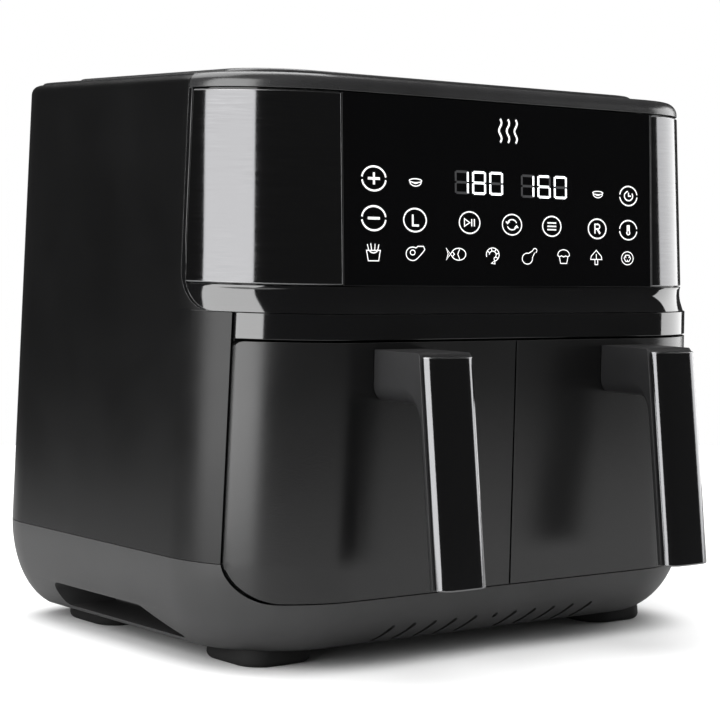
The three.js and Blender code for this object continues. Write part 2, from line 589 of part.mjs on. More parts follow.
function makeCavity(side) {
  const x = CAVITY_X * side;
  const can = cavityBlock(side, 0, CAVITY_BOTTOM_Z, ROOF_Z, CAVITY_FRONT_Y, CAVITY_REAR_Y);
  const hollow = cavityBlock(side, CAVITY_SHEET, CAVITY_BOTTOM_Z + CAVITY_SHEET,
    ROOF_Z - CAVITY_SHEET, CAVITY_FRONT_Y - GAP, CAVITY_REAR_Y - CAVITY_SHEET);
  const shaftHole = tube([x, CAVITY_Y], SHAFT_RADIUS * 2, ROOF_Z - GAP * 10, ROOF_Z + GAP, 12);
  const terminals = elementEnds(side).map((end) =>
    tube([end.x, end.y], ELEMENT_RADIUS + 1, ROOF_Z - GAP * 10, ROOF_Z + GAP, 12));
  const sensorHole = pinBack(SENSOR_X * side, SENSOR_Z, SENSOR_SIZE[0] + GAP,
    CAVITY_REAR_Y - CAVITY_SHEET * 3, CAVITY_REAR_Y + GAP);
  return cutAll(can, [hollow, shaftHole, sensorHole, ...terminals]);
}

// A point of the heating element, by its angle in degrees round the fan's axis.
function elementPoint(side, degrees, radius, z) {
  const angle = THREE.MathUtils.degToRad(degrees);
  return new THREE.Vector3(
    CAVITY_X * side + radius * Math.cos(angle), CAVITY_Y + radius * Math.sin(angle), z);
}

// Both ends rise through the roof behind the fan: one from each loop.
const ELEMENT_ENDS = [90 + ELEMENT_MOUTH, 90 + ELEMENT_MOUTH / 4];

function elementEnds(side) {
  return ELEMENT_ENDS.map((degrees) => elementPoint(side, degrees, ELEMENT_COIL[1], 0));
}

// Outer loop one way round, a turn inwards, then the inner loop back again.
function makeElement(side) {
  const [inner, outer] = ELEMENT_COIL;
  const z = ROOF_Z - ELEMENT_DROP;
  const rise = ELEMENT_RADIUS * 3;
  const riser = ROOF_Z + ELEMENT_RADIUS * 2;
  const sweep = 360 - 2 * ELEMENT_MOUTH;
  const count = sweep / ELEMENT_STEP;
  const last = ELEMENT_ENDS[0] + sweep;
  const outerLoop = Array.from({ length: count }, (_, index) =>
    elementPoint(side, ELEMENT_ENDS[0] + ELEMENT_STEP * (index + 1), outer, z));
  const innerLoop = Array.from({ length: count }, (_, index) =>
    elementPoint(side, last - ELEMENT_STEP * index, inner, z));
  const path = new THREE.CatmullRomCurve3([
    elementPoint(side, ELEMENT_ENDS[0], outer, riser),
    elementPoint(side, ELEMENT_ENDS[0], outer, z + rise),
    ...outerLoop,
    elementPoint(side, last + ELEMENT_MOUTH / 4, (inner + outer) / 2, z),
    ...innerLoop,
    elementPoint(side, ELEMENT_ENDS[1], (inner + outer) / 2, z),
    elementPoint(side, ELEMENT_ENDS[1], outer, z + rise),
    elementPoint(side, ELEMENT_ENDS[1], outer, riser),
  ]);
  const section = new THREE.Shape().absarc(0, 0, ELEMENT_RADIUS, 0, Math.PI * 2);
  const options = { steps: 72, extrudePath: path, curveSegments: 4, bevelEnabled: false };
  return solidOf(new THREE.ExtrudeGeometry(section, options));
}

function makeGuard(side) {
  const shape = new THREE.Shape().absarc(0, 0, GUARD_RADIUS, 0, Math.PI * 2);
  for (let index = 0; index < GUARD_SPOKES; index += 1) {
    const middle = (index / GUARD_SPOKES) * Math.PI * 2;
    for (const [from, to] of GUARD_SLOT_SHARES) {
      const points = [[from, -1], [to, -1], [to, 1], [from, 1]].map(([share, way]) => {
        const angle = middle + way * GUARD_SLOT_SPREAD;
        return new THREE.Vector2(Math.cos(angle), Math.sin(angle))
          .multiplyScalar(GUARD_RADIUS * share);
      });
      shape.holes.push(new THREE.Path(points));
    }
  }
  const z = ROOF_Z - GUARD_DROP;
  return extrudeUp(shape, z, z + GUARD_THICKNESS, 12).translate([CAVITY_X * side, CAVITY_Y, 0]);
}

// A centrifugal wheel: straight blades round a hub with a bore for the shaft.
function makeWheel(side, radius, bottom, height, blades) {
  const hub = radius * HUB_SHARE;
  const blade = BLADE_THICKNESS;
  const shape = new THREE.Shape();
  for (let index = 0; index < blades; index += 1) {
    const turn = (index / blades) * Math.PI * 2;
    const corners = [[hub, -blade], [radius, -blade / 2], [radius, blade / 2], [hub, blade]];
    corners.forEach(([out, across], corner) => {
      const x = out * Math.cos(turn) - across * Math.sin(turn);
      const y = out * Math.sin(turn) + across * Math.cos(turn);
      if (index + corner === 0) shape.moveTo(x, y);
      else shape.lineTo(x, y);
    });
  }
  const bore = SHAFT_RADIUS + SHAFT_CLEARANCE;
  shape.holes.push(new THREE.Path().absarc(0, 0, bore, 0, Math.PI * 2, true));
  return extrudeUp(shape, bottom, bottom + height).translate([CAVITY_X * side, CAVITY_Y, 0]);
}

function makeShaft(side) {
  const top = MOTOR_LOW_Z + MOTOR_HEIGHT - SHAFT_STOP;
  return tube([CAVITY_X * side, CAVITY_Y], SHAFT_RADIUS, FAN_LOW_Z - SHAFT_TAIL, top, 12);
}

function makeMotor(side) {
  const bore = SHAFT_RADIUS + SHAFT_CLEARANCE;
  const low = MOTOR_LOW_Z;
  const high = low + MOTOR_HEIGHT;
  const neck = MOTOR_RADIUS - MOTOR_NECK;
  const profile = [[bore, low], [MOTOR_RADIUS - MOTOR_CHAMFER, low],
    [MOTOR_RADIUS, low + MOTOR_CHAMFER], [MOTOR_RADIUS, high - MOTOR_CHAMFER * 2],
    [neck, high - MOTOR_CHAMFER], [neck, high], [bore, high], [bore, low],
  ].map(([r, z]) => new THREE.Vector2(r, z));
  return solidOf(new THREE.LatheGeometry(profile, 20).rotateX(Math.PI / 2))
    .translate([CAVITY_X * side, CAVITY_Y, 0]);
}

function makeBracket(side) {
  const half = BRACKET_SPAN / 2;
  const low = ROOF_Z + GAP;
  const outer = new THREE.Shape([[-half, low], [half, low], [half, BRACKET_TOP_Z],
    [-half, BRACKET_TOP_Z]].map(([x, z]) => new THREE.Vector2(x, z)));
  const inner = half - BRACKET_SHEET;
  const cut = box([-inner, -FAR, low - 1], [inner, FAR, BRACKET_TOP_Z - BRACKET_SHEET]);
  const bore = tube([0, 0], SHAFT_RADIUS * 2, low, BRACKET_TOP_Z + 1, 12);
  return cutAll(extrudeBack(outer, -BRACKET_DEPTH / 2, BRACKET_DEPTH / 2), [cut, bore])
    .translate([CAVITY_X * side, CAVITY_Y, 0]);
}

function makeSensor(side) {
  return pinBack(SENSOR_X * side, SENSOR_Z, SENSOR_SIZE[0],
    CAVITY_REAR_Y - CAVITY_SHEET - BASKET_CLEARANCE / 2, CAVITY_REAR_Y + SENSOR_SIZE[1] / 2);
}

function makePowerBoard() {
  const [across, deep] = POWER_BOARD_SIZE;
  const z = BRACKET_TOP_Z + POWER_BOARD_LIFT;
  const low = CAVITY_Y - deep / 2;
  const board = box([-across / 2, low, z], [across / 2, low + deep, z + BOARD_THICKNESS]);
  const parts = BOARD_PARTS.map(({ start: [x, back], size, tall }) =>
    box([x, low + back, z + BOARD_THICKNESS / 2],
      [x + size[0], low + back + size[1], z + BOARD_THICKNESS + tall]));
  return uniteAll([board, ...parts]);
}

// ---------------------------------------------------------------- Drawers
function makeDrawerFront(side) {
  const low = DRAWER_BOTTOM_Z;
  const shellOfFace = skin(0, low - 1, DRAWER_TOP_Z + 1)
    .subtract(skin(DRAWER_WALL, low - 2, DRAWER_TOP_Z + 2));
  const outline = extrudeBack(drawerOutline(side, 0), FACE_Y - 1, FACE_Y + DRAWER_RETURN);
  return cutAll(shellOfFace.intersect(outline), screwHoles(side));
}

function screwHoles(side) {
  return SCREW_DROPS.map((drop) => pinBack(HANDLE_X * side, ARM_TOP_Z - drop,
    SCREW_RADIUS + GAP, FACE_Y - SCREW_GRIP - 1, CARRIER_Y + CARRIER_THICKNESS + 1));
}

// Steel plate that ties the face, the handle and the basket together.
function makeCarrier(side) {
  const plate = sideBox(side,
    [BASKET_INNER_X, CARRIER_Y, BASKET_BOTTOM_Z],
    [BASKET_OUTER_X, CARRIER_Y + CARRIER_THICKNESS, ARM_TOP_Z])
    .intersect(skin(DRAWER_WALL + GAP, BASKET_BOTTOM_Z - 1, ARM_TOP_Z + 1));
  return cutAll(plate, screwHoles(side));
}

function basketLevel(side, z, inset) {
  const down = (BASKET_TOP_Z - z) / (BASKET_TOP_Z - BASKET_BOTTOM_Z);
  const shrink = BASKET_DRAFT * down + inset;
  const inner = BASKET_INNER_X + shrink;
  const outer = BASKET_OUTER_X - shrink;
  const left = side > 0 ? inner : -outer;
  const right = side > 0 ? outer : -inner;
  const round = BASKET_CORNER - inset;
  return { z, outline: planOutline(left, right, BASKET_FRONT_Y + shrink,
    BASKET_REAR_Y - shrink, round, round) };
}

// A solid through basket outlines, each [height, inset], kept behind the curved drawer face.
function basketVolume(side, levels, inset) {
  const heights = levels.map(([z]) => z);
  return loft(levels.map(([z, extra]) => basketLevel(side, z, inset + extra)))
    .intersect(skin(BASKET_SKIN_INSET + inset, heights[0] - 1, heights[heights.length - 1] + 1));
}

function makeBasket(side) {
  const profile = (low, high) => [[low, BASKET_HEEL * 0.7],
    [low + BASKET_HEEL * 0.4, BASKET_HEEL * 0.2], [low + BASKET_HEEL, 0], [high, 0]];
  const outside = basketVolume(side, profile(BASKET_BOTTOM_Z, BASKET_TOP_Z), 0);
  const inside = basketVolume(side,
    profile(BASKET_BOTTOM_Z + BASKET_WALL, BASKET_TOP_Z + 1), BASKET_WALL);
  return outside.subtract(inside);
}

function plateSolid(side) {
  return basketVolume(side, [[PLATE_Z, 0], [PLATE_Z + PLATE_THICKNESS, 0]],
    BASKET_WALL + PLATE_CLEARANCE);
}

function makePlate(side) {
  const columns = Math.floor((BASKET_OUTER_X - BASKET_INNER_X - 2 * BASKET_CORNER)
    / PLATE_SLOT_PITCH[0]);
  const rows = Math.floor((BASKET_REAR_Y - BASKET_FRONT_Y - 2 * BASKET_CORNER)
    / PLATE_SLOT_PITCH[1]);
  const cutters = [];
  for (let column = 0; column < columns; column += 1) {
    for (let row = 0; row < rows; row += 1) {
      const x = (BASKET_X + (column - (columns - 1) / 2) * PLATE_SLOT_PITCH[0]) * side;
      const y = BASKET_Y + (row - (rows - 1) / 2) * PLATE_SLOT_PITCH[1];
      cutters.push(box([x - PLATE_SLOT[0] / 2, y - PLATE_SLOT[1] / 2, PLATE_Z - 1],
        [x + PLATE_SLOT[0] / 2, y + PLATE_SLOT[1] / 2, PLATE_Z + PLATE_THICKNESS + 1]));
    }
  }
  const bumperSeats = [-1, 1].map((end) => bumperBlock(side, end, GAP));
  return cutAll(plateSolid(side), [...cutters, ...bumperSeats]);
}

// Silicone buffers clipped on the front and rear edges of the crisper plate.
function bumperBlock(side, end, grow) {
  const [length, thick, tall] = BUMPER_SIZE;
  const x = BASKET_X * side;
  const rim = basketLevel(side, PLATE_Z, BASKET_WALL + GAP * 3).outline.map((point) => point.y);
  const edge = end < 0 ? Math.min(...rim) : Math.max(...rim);
  const ys = [edge, edge - end * thick].sort((a, b) => a - b);
  const low = PLATE_Z + (PLATE_THICKNESS - tall) / 2 + BUMPER_LIFT;
  return box([x - length / 2 - grow, ys[0] - grow, low - grow],
    [x + length / 2 + grow, ys[1] + grow, low + tall + grow]);
}

// ---------------------------------------------------------------- Handles
// Distances in front of the drawer face turn into Y; the grip leans out towards its end.
const reach = (out) => FACE_Y - out;
const backOfInsert = INSERT_THICKNESS / Math.cos(GRIP_ANGLE);

function makeHandle(side) {
  const topOut = HANDLE_REACH - GRIP_LEAN - backOfInsert - GAP;
  const endOut = HANDLE_REACH - backOfInsert - GAP;
  const armLow = ARM_TOP_Z - ARM_HEIGHT;
  const backOut = (z) => THREE.MathUtils.lerp(endOut, topOut,
    (z - GRIP_BOTTOM_Z) / (GRIP_TOP_Z - GRIP_BOTTOM_Z)) - GRIP_BACK;
  const shape = new THREE.Shape();
  shape.moveTo(reach(GAP), ARM_TOP_Z);
  shape.lineTo(reach(GAP), armLow + ARM_ROUND / 3);
  shape.quadraticCurveTo(reach(GAP), armLow, reach(ARM_ROUND), armLow);
  shape.lineTo(reach(backOut(armLow) - ARM_ROUND), armLow);
  shape.quadraticCurveTo(reach(backOut(armLow)), armLow,
    reach(backOut(armLow - ARM_ROUND)), armLow - ARM_ROUND);
  shape.lineTo(reach(backOut(GRIP_BOTTOM_Z)), GRIP_BOTTOM_Z);
  shape.lineTo(reach(endOut), GRIP_BOTTOM_Z);
  shape.lineTo(reach(topOut), GRIP_TOP_Z);
  const half = ARM_WIDTH / 2;
  const bracket = extrudeAcross(shape, HANDLE_X * side - half, HANDLE_X * side + half, 4);
  return cutAll(bracket, screwHoles(side));
}

// Convex metal insert on the grip, drawn in plan and extruded along the leaning grip.
function makeInsert(side) {
  const half = GRIP_WIDTH / 2;
  const flank = INSERT_THICKNESS - INSERT_CROWN;
  const steps = 8;
  const front = Array.from({ length: steps + 1 }, (_, step) => {
    const across = (step / steps) * 2 - 1;
    return new THREE.Vector2(across * half, -flank - INSERT_CROWN * (1 - across * across));
  });
  const section = new THREE.Shape([...front, new THREE.Vector2(half, 0),
    new THREE.Vector2(-half, 0)]);
  const length = (GRIP_TOP_Z - GRIP_BOTTOM_Z) / Math.cos(GRIP_ANGLE);
  const raw = new THREE.ExtrudeGeometry(section, { depth: length, bevelEnabled: false })
    .translate(0, INSERT_THICKNESS, 0)
    .rotateX(-GRIP_ANGLE)
    .translate(HANDLE_X * side, reach(HANDLE_REACH), GRIP_BOTTOM_Z);
  return solidOf(raw);
}

function makeScrew(side, drop) {
  const front = FACE_Y - SCREW_GRIP;
  const seat = CARRIER_Y + CARRIER_THICKNESS + GAP;
  const shank = pinBack(HANDLE_X * side, ARM_TOP_Z - drop, SCREW_RADIUS, front, seat + GAP, 8);
  const head = pinBack(HANDLE_X * side, ARM_TOP_Z - drop, SCREW_HEAD_RADIUS, seat,
    seat + SCREW_HEAD_LENGTH - GAP, 8);
  return shank.add(head);
}

// ---------------------------------------------------------------- Feet, rear parts and gland
function makeFoot(side, end) {
  const x = (HALF - FOOT_CENTRE_INSET[0]) * side;
  const y = end < 0 ? FACE_Y + FOOT_CENTRE_INSET[1] : REAR_Y - FOOT_CENTRE_INSET[1];
  const [across, deep] = FOOT_SIZE.map((size) => size / 2);
  const outline = roundedShape([x - across, y - deep], [x + across, y + deep],
    [FOOT_ROUND, FOOT_ROUND, FOOT_ROUND, FOOT_ROUND]);
  const grown = skin(-GAP, FLOOR_Z - GAP, SEAM_Z);
  return extrudeUp(outline, 0, FOOT_TALL, 5).subtract(grown);
}

function makeGrille() {
  const [across, tall] = GRILLE_SIZE;
  const low = [-across / 2, REAR_Y - SIDE_LEAN - GAP, GRILLE_BOTTOM_Z];
  const high = [across / 2, REAR_Y + GRILLE_THICKNESS - GAP, GRILLE_TOP_Z];
  const plate = box(low, high).subtract(skin(-GAP, SEAM_Z, SHELL_TOP_Z + 1));
  const pitch = (tall - 2 * GRILLE_BORDER) / GRILLE_BARS;
  const half = (pitch * GRILLE_SLOT_SHARE) / 2;
  const slots = Array.from({ length: GRILLE_BARS }, (_, index) => {
    const z = GRILLE_BOTTOM_Z + GRILLE_BORDER + pitch * (index + 0.5);
    return [-1, 1].map((end) => sideBox(end,
      [GRILLE_BORDER / 2, REAR_Y - REAR_CORNER, z - half],
      [across / 2 - GRILLE_BORDER * 1.5, REAR_Y + FAR, z + half]));
  }).flat();
  return cutAll(plate, slots);
}

function makeSpacer(side) {
  const [across, tall] = SPACER_SIZE;
  const [x, z] = SPACER_CENTRE;
  const block = sideBox(side, [x - across / 2, REAR_Y - REAR_CORNER / 2, z - tall / 2],
    [x + across / 2, REAR_Y + REAR_STANDOFF, z + tall / 2]);
  return block.subtract(skin(-GAP, SEAM_Z, SHELL_TOP_Z));
}

function makeGland() {
  const [x, z] = GLAND_CENTRE;
  const wall = REAR_Y - SIDE_LEAN * (z - SEAM_Z) / (SHELL_TOP_Z - SEAM_Z);
  const [flange, thick] = GLAND_FLANGE;
  const outside = wall + GAP * 2;
  const barrel = pinBack(x, z, GLAND_RADIUS, wall - SHELL_WALL - thick * 2, outside + thick, 20);
  const collar = pinBack(x, z, flange, outside, outside + thick, 20);
  const bore = pinBack(x, z, GLAND_BORE, wall - FAR, wall + FAR, 12);
  return barrel.add(collar).subtract(bore);
}

// ---------------------------------------------------------------- Materials
const finish = (color, roughness, metalness) =>
  new THREE.MeshStandardMaterial({ color, roughness, metalness });
const MATTE_BLACK = finish(0x18191b, 0.55, 0);
const SATIN_GREY = finish(0x2b2c2e, 0.45, 0);
const GLOSS_BLACK = finish(0x0a0a0b, 0.12, 0);
const GLASS_BLACK = finish(0x020203, 0.05, 0);
const DARK_STEEL = finish(0x2a2a2c, 0.3, 1);
const DRAWER_BLACK = finish(0x161617, 0.4, 0);
const HANDLE_GREY = finish(0x2a2b2d, 0.5, 0);
const RUBBER = finish(0x0d0d0e, 0.9, 0);
const SILICONE = finish(0x1a1a1a, 0.8, 0);
const NONSTICK = finish(0x1d1e20, 0.35, 0.4);
const SHEET_STEEL = finish(0xa9abad, 0.35, 1);
const BRIGHT_STEEL = finish(0xc4c6c8, 0.25, 1);
const HOT_ROD = finish(0x4a4744, 0.5, 1);
const ALLOY = finish(0xb6b8ba, 0.4, 1);
const BOARD_GREEN = finish(0x1d4a2c, 0.6, 0);
const DISPLAY_DARK = finish(0x101114, 0.3, 0);

// ---------------------------------------------------------------- Assembly
const airFryer = new THREE.Group();

function place(name, solid, material) {
  const mesh = new THREE.Mesh(geometryOf(solid), material);
  mesh.name = name;
  airFryer.add(mesh);
}

place("base_tub", makeBase(), SATIN_GREY);
place("outer_shell", makeShell(), MATTE_BLACK);
place("lid", makeLid(), SATIN_GREY);
place("head_bezel", makeBezel(), GLOSS_BLACK);
place("control_glass", headPlate(0, GLASS_THICKNESS,
  [-GLASS_HALF, GLASS_BOTTOM_Z], [GLASS_HALF, GLASS_TOP_Z]), GLASS_BLACK);
place("touch_board", makeTouchBoard(), BOARD_GREEN);
place("power_board", makePowerBoard(), BOARD_GREEN);
place("trim_band", makeTrimBand(), GLOSS_BLACK);
place("front_frame", makeFrontFrame(), MATTE_BLACK);
place("rear_grille", makeGrille(), MATTE_BLACK);
place("cord_gland", makeGland(), MATTE_BLACK);

for (const [hand, side] of SIDES) {
  place(`${hand}_steel_panel`, makeSteelPanel(side), DARK_STEEL);
  place(`${hand}_display`, makeDisplay(side), DISPLAY_DARK);
  place(`${hand}_wall_spacer`, makeSpacer(side), MATTE_BLACK);
  place(`${hand}_front_foot`, makeFoot(side, -1), RUBBER);
  place(`${hand}_rear_foot`, makeFoot(side, 1), RUBBER);
  place(`${hand}_cavity`, makeCavity(side), SHEET_STEEL);
  place(`${hand}_heating_element`, makeElement(side), HOT_ROD);
  place(`${hand}_heater_guard`, makeGuard(side), BRIGHT_STEEL);
  place(`${hand}_temperature_sensor`, makeSensor(side), BRIGHT_STEEL);
  place(`${hand}_motor_bracket`, makeBracket(side), SHEET_STEEL);
  place(`${hand}_fan_motor`, makeMotor(side), ALLOY);
  place(`${hand}_motor_shaft`, makeShaft(side), BRIGHT_STEEL);
  place(`${hand}_convection_fan`,
    makeWheel(side, FAN_RADIUS, FAN_LOW_Z, FAN_HEIGHT, FAN_BLADES), ALLOY);
  place(`${hand}_cooling_fan`,
    makeWheel(side, COOLER_RADIUS, COOLER_LOW_Z, COOLER_HEIGHT, COOLER_BLADES), ALLOY);
  place(`${hand}_drawer_front`, makeDrawerFront(side), DRAWER_BLACK);
  place(`${hand}_drawer_carrier`, makeCarrier(side), SHEET_STEEL);
  place(`${hand}_basket`, makeBasket(side), NONSTICK);
  place(`${hand}_handle`, makeHandle(side), HANDLE_GREY);
  place(`${hand}_handle_insert`, makeInsert(side), DARK_STEEL);
  place(`${hand}_upper_screw`, makeScrew(side, SCREW_DROPS[0]), BRIGHT_STEEL);
  place(`${hand}_lower_screw`, makeScrew(side, SCREW_DROPS[1]), BRIGHT_STEEL);
  place(`${hand}_crisper_plate`, makePlate(side), NONSTICK);
  place(`${hand}_front_bumper`, bumperBlock(side, -1, 0), SILICONE);
  place(`${hand}_rear_bumper`, bumperBlock(side, 1, 0), SILICONE);
}

export default airFryer;
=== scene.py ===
# %% [markdown]
# # A two-drawer air fryer, dressed around its engineering model
# The engineering model is a set of plain, faceted solids that already have the right size and
# already move. This lesson keeps that model as a fixed frame and makes the surface that a
# person would see: smooth mouldings, brushed metal, printed glass and soft studio light.
# Places are read from the frame wherever a node has them, and the rest are named values.

# %% Load the frame
import math
import bmesh
import bpy
from mathutils import Matrix, Vector


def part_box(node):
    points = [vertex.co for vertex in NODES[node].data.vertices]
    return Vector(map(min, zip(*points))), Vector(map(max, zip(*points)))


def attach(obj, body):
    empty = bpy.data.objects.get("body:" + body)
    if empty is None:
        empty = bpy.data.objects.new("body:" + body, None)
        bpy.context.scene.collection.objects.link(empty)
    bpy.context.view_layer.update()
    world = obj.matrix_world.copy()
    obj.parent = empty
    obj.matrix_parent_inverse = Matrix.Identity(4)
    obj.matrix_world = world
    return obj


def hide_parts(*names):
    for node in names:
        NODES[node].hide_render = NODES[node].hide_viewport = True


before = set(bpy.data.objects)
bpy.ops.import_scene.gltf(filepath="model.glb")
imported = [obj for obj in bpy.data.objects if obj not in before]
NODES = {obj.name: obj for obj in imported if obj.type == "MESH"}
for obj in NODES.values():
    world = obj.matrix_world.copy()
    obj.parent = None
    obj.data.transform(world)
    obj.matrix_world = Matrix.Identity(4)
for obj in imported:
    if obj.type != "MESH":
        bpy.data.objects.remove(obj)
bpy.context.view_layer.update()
MM = 0.001
SIDES = (("left", -1), ("right", 1))

# %% [markdown]
# ## The heights and planes that everything else hangs on
# A moulded appliance is drawn around a handful of planes: the worktop, the seam between base
# and shell, the crease under the control panel, the glass, and the lid. They could be typed
# in again, but then a change to the frame would leave the looks behind. So each one is read
# from the box of the node that owns it.

# %% Planes read from the frame
base_low, base_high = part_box("base_tub")
glass_low, glass_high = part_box("control_glass")
band_low, band_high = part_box("trim_band")
face_low, face_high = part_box("right_drawer_front")
shell_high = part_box("outer_shell")[1]
panel_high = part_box("right_steel_panel")[1]
lid_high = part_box("lid")[1]
frame_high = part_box("front_frame")[1]

GAP = 0.3 * MM
PAD_RISE = 3.5 * MM
BORDER = 2.6 * MM
SHUT_LINE = 1.3 * MM
HALF = base_high.x
FLOOR_Z, SEAM_Z = base_low.z, base_high.z
FACE_Y, REAR_Y = face_low.y, base_high.y
CREASE_Z, BAND_Z = band_high.z, band_low.z
GLASS_Z, GLASS_TOP = glass_low.z, glass_high.z
SHELL_TOP, HEIGHT = shell_high.z, lid_high.z
LID_TOP = HEIGHT - PAD_RISE
GLASS_HALF = glass_high.x
HEAD_REAR = panel_high.y + BORDER + GAP
DRAWER_IN, DRAWER_OUT = face_low.x, face_high.x
DRAWER_Z, DRAWER_TOP = face_low.z, face_high.z
print("seam", round(SEAM_Z, 4), "crease", round(CREASE_Z, 4), "glass", round(GLASS_Z, 4), round(GLASS_TOP, 4))

# %% [markdown]
# ## The skin as a formula
# The housing is a rounded box whose sides lean in towards the lid, whose base curves in like
# a hull, and whose head is set back behind a hollow cove. It could be pushed into shape by
# hand, point by point, but then the glass, the steel panels and the drawer faces would never
# lie flush. A formula that gives the outline at any height, moved inwards by any amount,
# makes all of them from one surface.

# %% The outline of the skin at one height
FRONT_CORNER, HEAD_CORNER, REAR_CORNER = 71 * MM, 61 * MM, 42 * MM
SIDE_LEAN = 5.6 * MM
SIDE_TUCK, FRONT_TUCK, REAR_TUCK = 32 * MM, 42 * MM, 28 * MM
HULL_HEIGHT = SEAM_Z - FLOOR_Z + 3 * MM
BAND_BULGE = 1.2 * MM
GLASS_SETBACK = glass_low.y - FACE_Y
GLASS_THICKNESS = 3 * MM
GLASS_LEAN = glass_high.y - glass_low.y - GLASS_THICKNESS


def setback(z):
    """How far the head stands back behind the drawer faces."""
    if z <= CREASE_Z:
        return 0.0
    if z < GLASS_Z:
        up = (z - CREASE_Z) / (GLASS_Z - CREASE_Z)
        return BAND_BULGE + (GLASS_SETBACK - BAND_BULGE) * math.sin(up * math.pi / 2)
    return GLASS_SETBACK + GLASS_LEAN * (z - GLASS_Z) / (GLASS_TOP - GLASS_Z)


def level(z, inset=0.0):
    """Half width, front, back, front radius and rear radius of the skin at a height."""
    drop = min(max(SEAM_Z - z, 0) / HULL_HEIGHT, 1)
    tuck = 1 - math.sqrt(1 - drop * drop)
    lean = SIDE_LEAN * max(z - SEAM_Z, 0) / (SHELL_TOP - SEAM_Z)
    up = min(max((z - CREASE_Z) / (GLASS_Z - CREASE_Z), 0), 1)
    corner = FRONT_CORNER + (HEAD_CORNER - FRONT_CORNER) * up
    half = HALF - lean - SIDE_TUCK * tuck - inset
    front = FACE_Y + setback(z) + FRONT_TUCK * tuck + inset
    back = REAR_Y - lean - REAR_TUCK * tuck - inset
    return half, front, back, corner - SIDE_TUCK * tuck - inset, REAR_CORNER - REAR_TUCK * tuck - inset


print("half width at the seam", round(level(SEAM_Z)[0], 4), "and at the glass", round(level(GLASS_Z)[0], 4))

# %% Places along the outline
def skin_point(shape, z, u):
    """A point of the right half: u is 0 at the front middle, 1 to 2 round the front corner,
    2 to 3 along the side, 3 to 4 round the rear corner and 5 at the rear middle."""
    half, front, back, front_r, rear_r = shape
    if u <= 1:
        return Vector(((half - front_r) * u, front, z))
    if u <= 2:
        turn = (u - 1) * math.pi / 2
        middle_x, middle_y = half - front_r, front + front_r
        return Vector((middle_x + front_r * math.sin(turn), middle_y - front_r * math.cos(turn), z))
    if u <= 3:
        start, end = front + front_r, back - rear_r
        return Vector((half, start + (end - start) * (u - 2), z))
    if u <= 4:
        turn = (u - 3) * math.pi / 2
        return Vector((half - rear_r + rear_r * math.cos(turn), back - rear_r + rear_r * math.sin(turn), z))
    return Vector(((half - rear_r) * (5 - u), back, z))


def u_at_x(shape, x):
    half, _, _, front_r, _ = shape
    flat = half - front_r
    if x <= flat:
        return x / flat
    return 1 + math.asin(min((x - flat) / front_r, 1)) / (math.pi / 2)


def u_at_y(shape, y):
    _, front, back, front_r, rear_r = shape
    short = front + front_r - y
    if short > 0:
        return 1 + math.acos(min(short / front_r, 1)) / (math.pi / 2)
    return 2 + (y - front - front_r) / (back - rear_r - front - front_r)


print("front corner starts at", [round(c, 4) for c in skin_point(level(SEAM_Z), SEAM_Z, 1)])

# %% [markdown]
# ## Mesh helpers
# Most casings are thin walls that follow the skin. A wall could be a flat sheet with a
# Solidify modifier, but on a curved sheet with steps that gives crossed corners. Here a wall
# is two grids, the outer and the inner face, joined along every open edge, so it is closed
# by construction. A Bevel modifier then rounds the edges, which is what catches the light.

# %% Closed walls from two grids of points
SAME_PLACE, PLACES_PER_METRE = 1e-7, 1e7


def mesh_object(name, verts, faces):
    mesh = bpy.data.meshes.new(name)
    mesh.from_pydata([tuple(v) for v in verts], [], faces)
    mesh.validate()
    mesh.shade_smooth()
    obj = bpy.data.objects.new(name, mesh)
    bpy.context.scene.collection.objects.link(obj)
    return obj


def ring_without_repeats(ring):
    return [v for k, v in enumerate(ring) if v != ring[k - 1]]


def slab(name, outer, inner, skip_flat=False):
    """A closed wall between two grids of rows. With skip_flat, faces without height are left
    out, which lets a row start again further along, as over a doorway."""
    index, verts_out, verts_in, faces = {}, [], [], []

    def number(i, j):
        key = tuple(round(c * PLACES_PER_METRE) for c in (*outer[i][j], *inner[i][j]))
        if key not in index:
            index[key] = len(verts_out)
            verts_out.append(outer[i][j])
            verts_in.append(inner[i][j])
        return index[key]

    for i in range(len(outer) - 1):
        for j in range(len(outer[i]) - 1):
            corners = [outer[i][j], outer[i][j + 1], outer[i + 1][j + 1], outer[i + 1][j]]
            heights = [c.z for c in corners]
            if skip_flat and max(heights) - min(heights) < SAME_PLACE:
                continue
            ring = [number(i, j), number(i, j + 1), number(i + 1, j + 1), number(i + 1, j)]
            ring = ring_without_repeats(ring)
            if len(ring) > 2:
                faces.append(ring)
    edges = {(ring[k - 1], ring[k]) for ring in faces for k in range(len(ring))}
    rims = [(a, b) for a, b in edges if (b, a) not in edges]
    count = len(verts_out)
    back = [[v + count for v in reversed(ring)] for ring in faces]
    sides = [[b, a, a + count, b + count] for a, b in sorted(rims)]
    obj = mesh_object(name, verts_out + verts_in, faces + back + sides)
    outer_rim = {tuple(sorted(pair)) for pair in rims}
    weights = obj.data.attributes.new("bevel_weight_edge", "FLOAT", "EDGE")
    for edge in obj.data.edges:
        weights.data[edge.index].value = float(tuple(sorted(edge.vertices)) in outer_rim)
    return obj


print("helpers ready: mesh_object, slab")

# %% Rows that follow the skin
def both_sides(row):
    """A row of the right half, carried over to the left, starting on the left."""
    mirrored = [Vector((-p.x, p.y, p.z)) for p in reversed(row)]
    return mirrored + (row[1:] if abs(row[0].x) < SAME_PLACE else row)


def mirrored_rows(rows, side):
    """Rows of the right half as they are, or turned over to the left with their order kept."""
    if side > 0:
        return rows
    return [[Vector((-p.x, p.y, p.z)) for p in reversed(row)] for row in rows]


def spread(start, end, count):
    return [start + (end - start) * k / count for k in range(count + 1)]


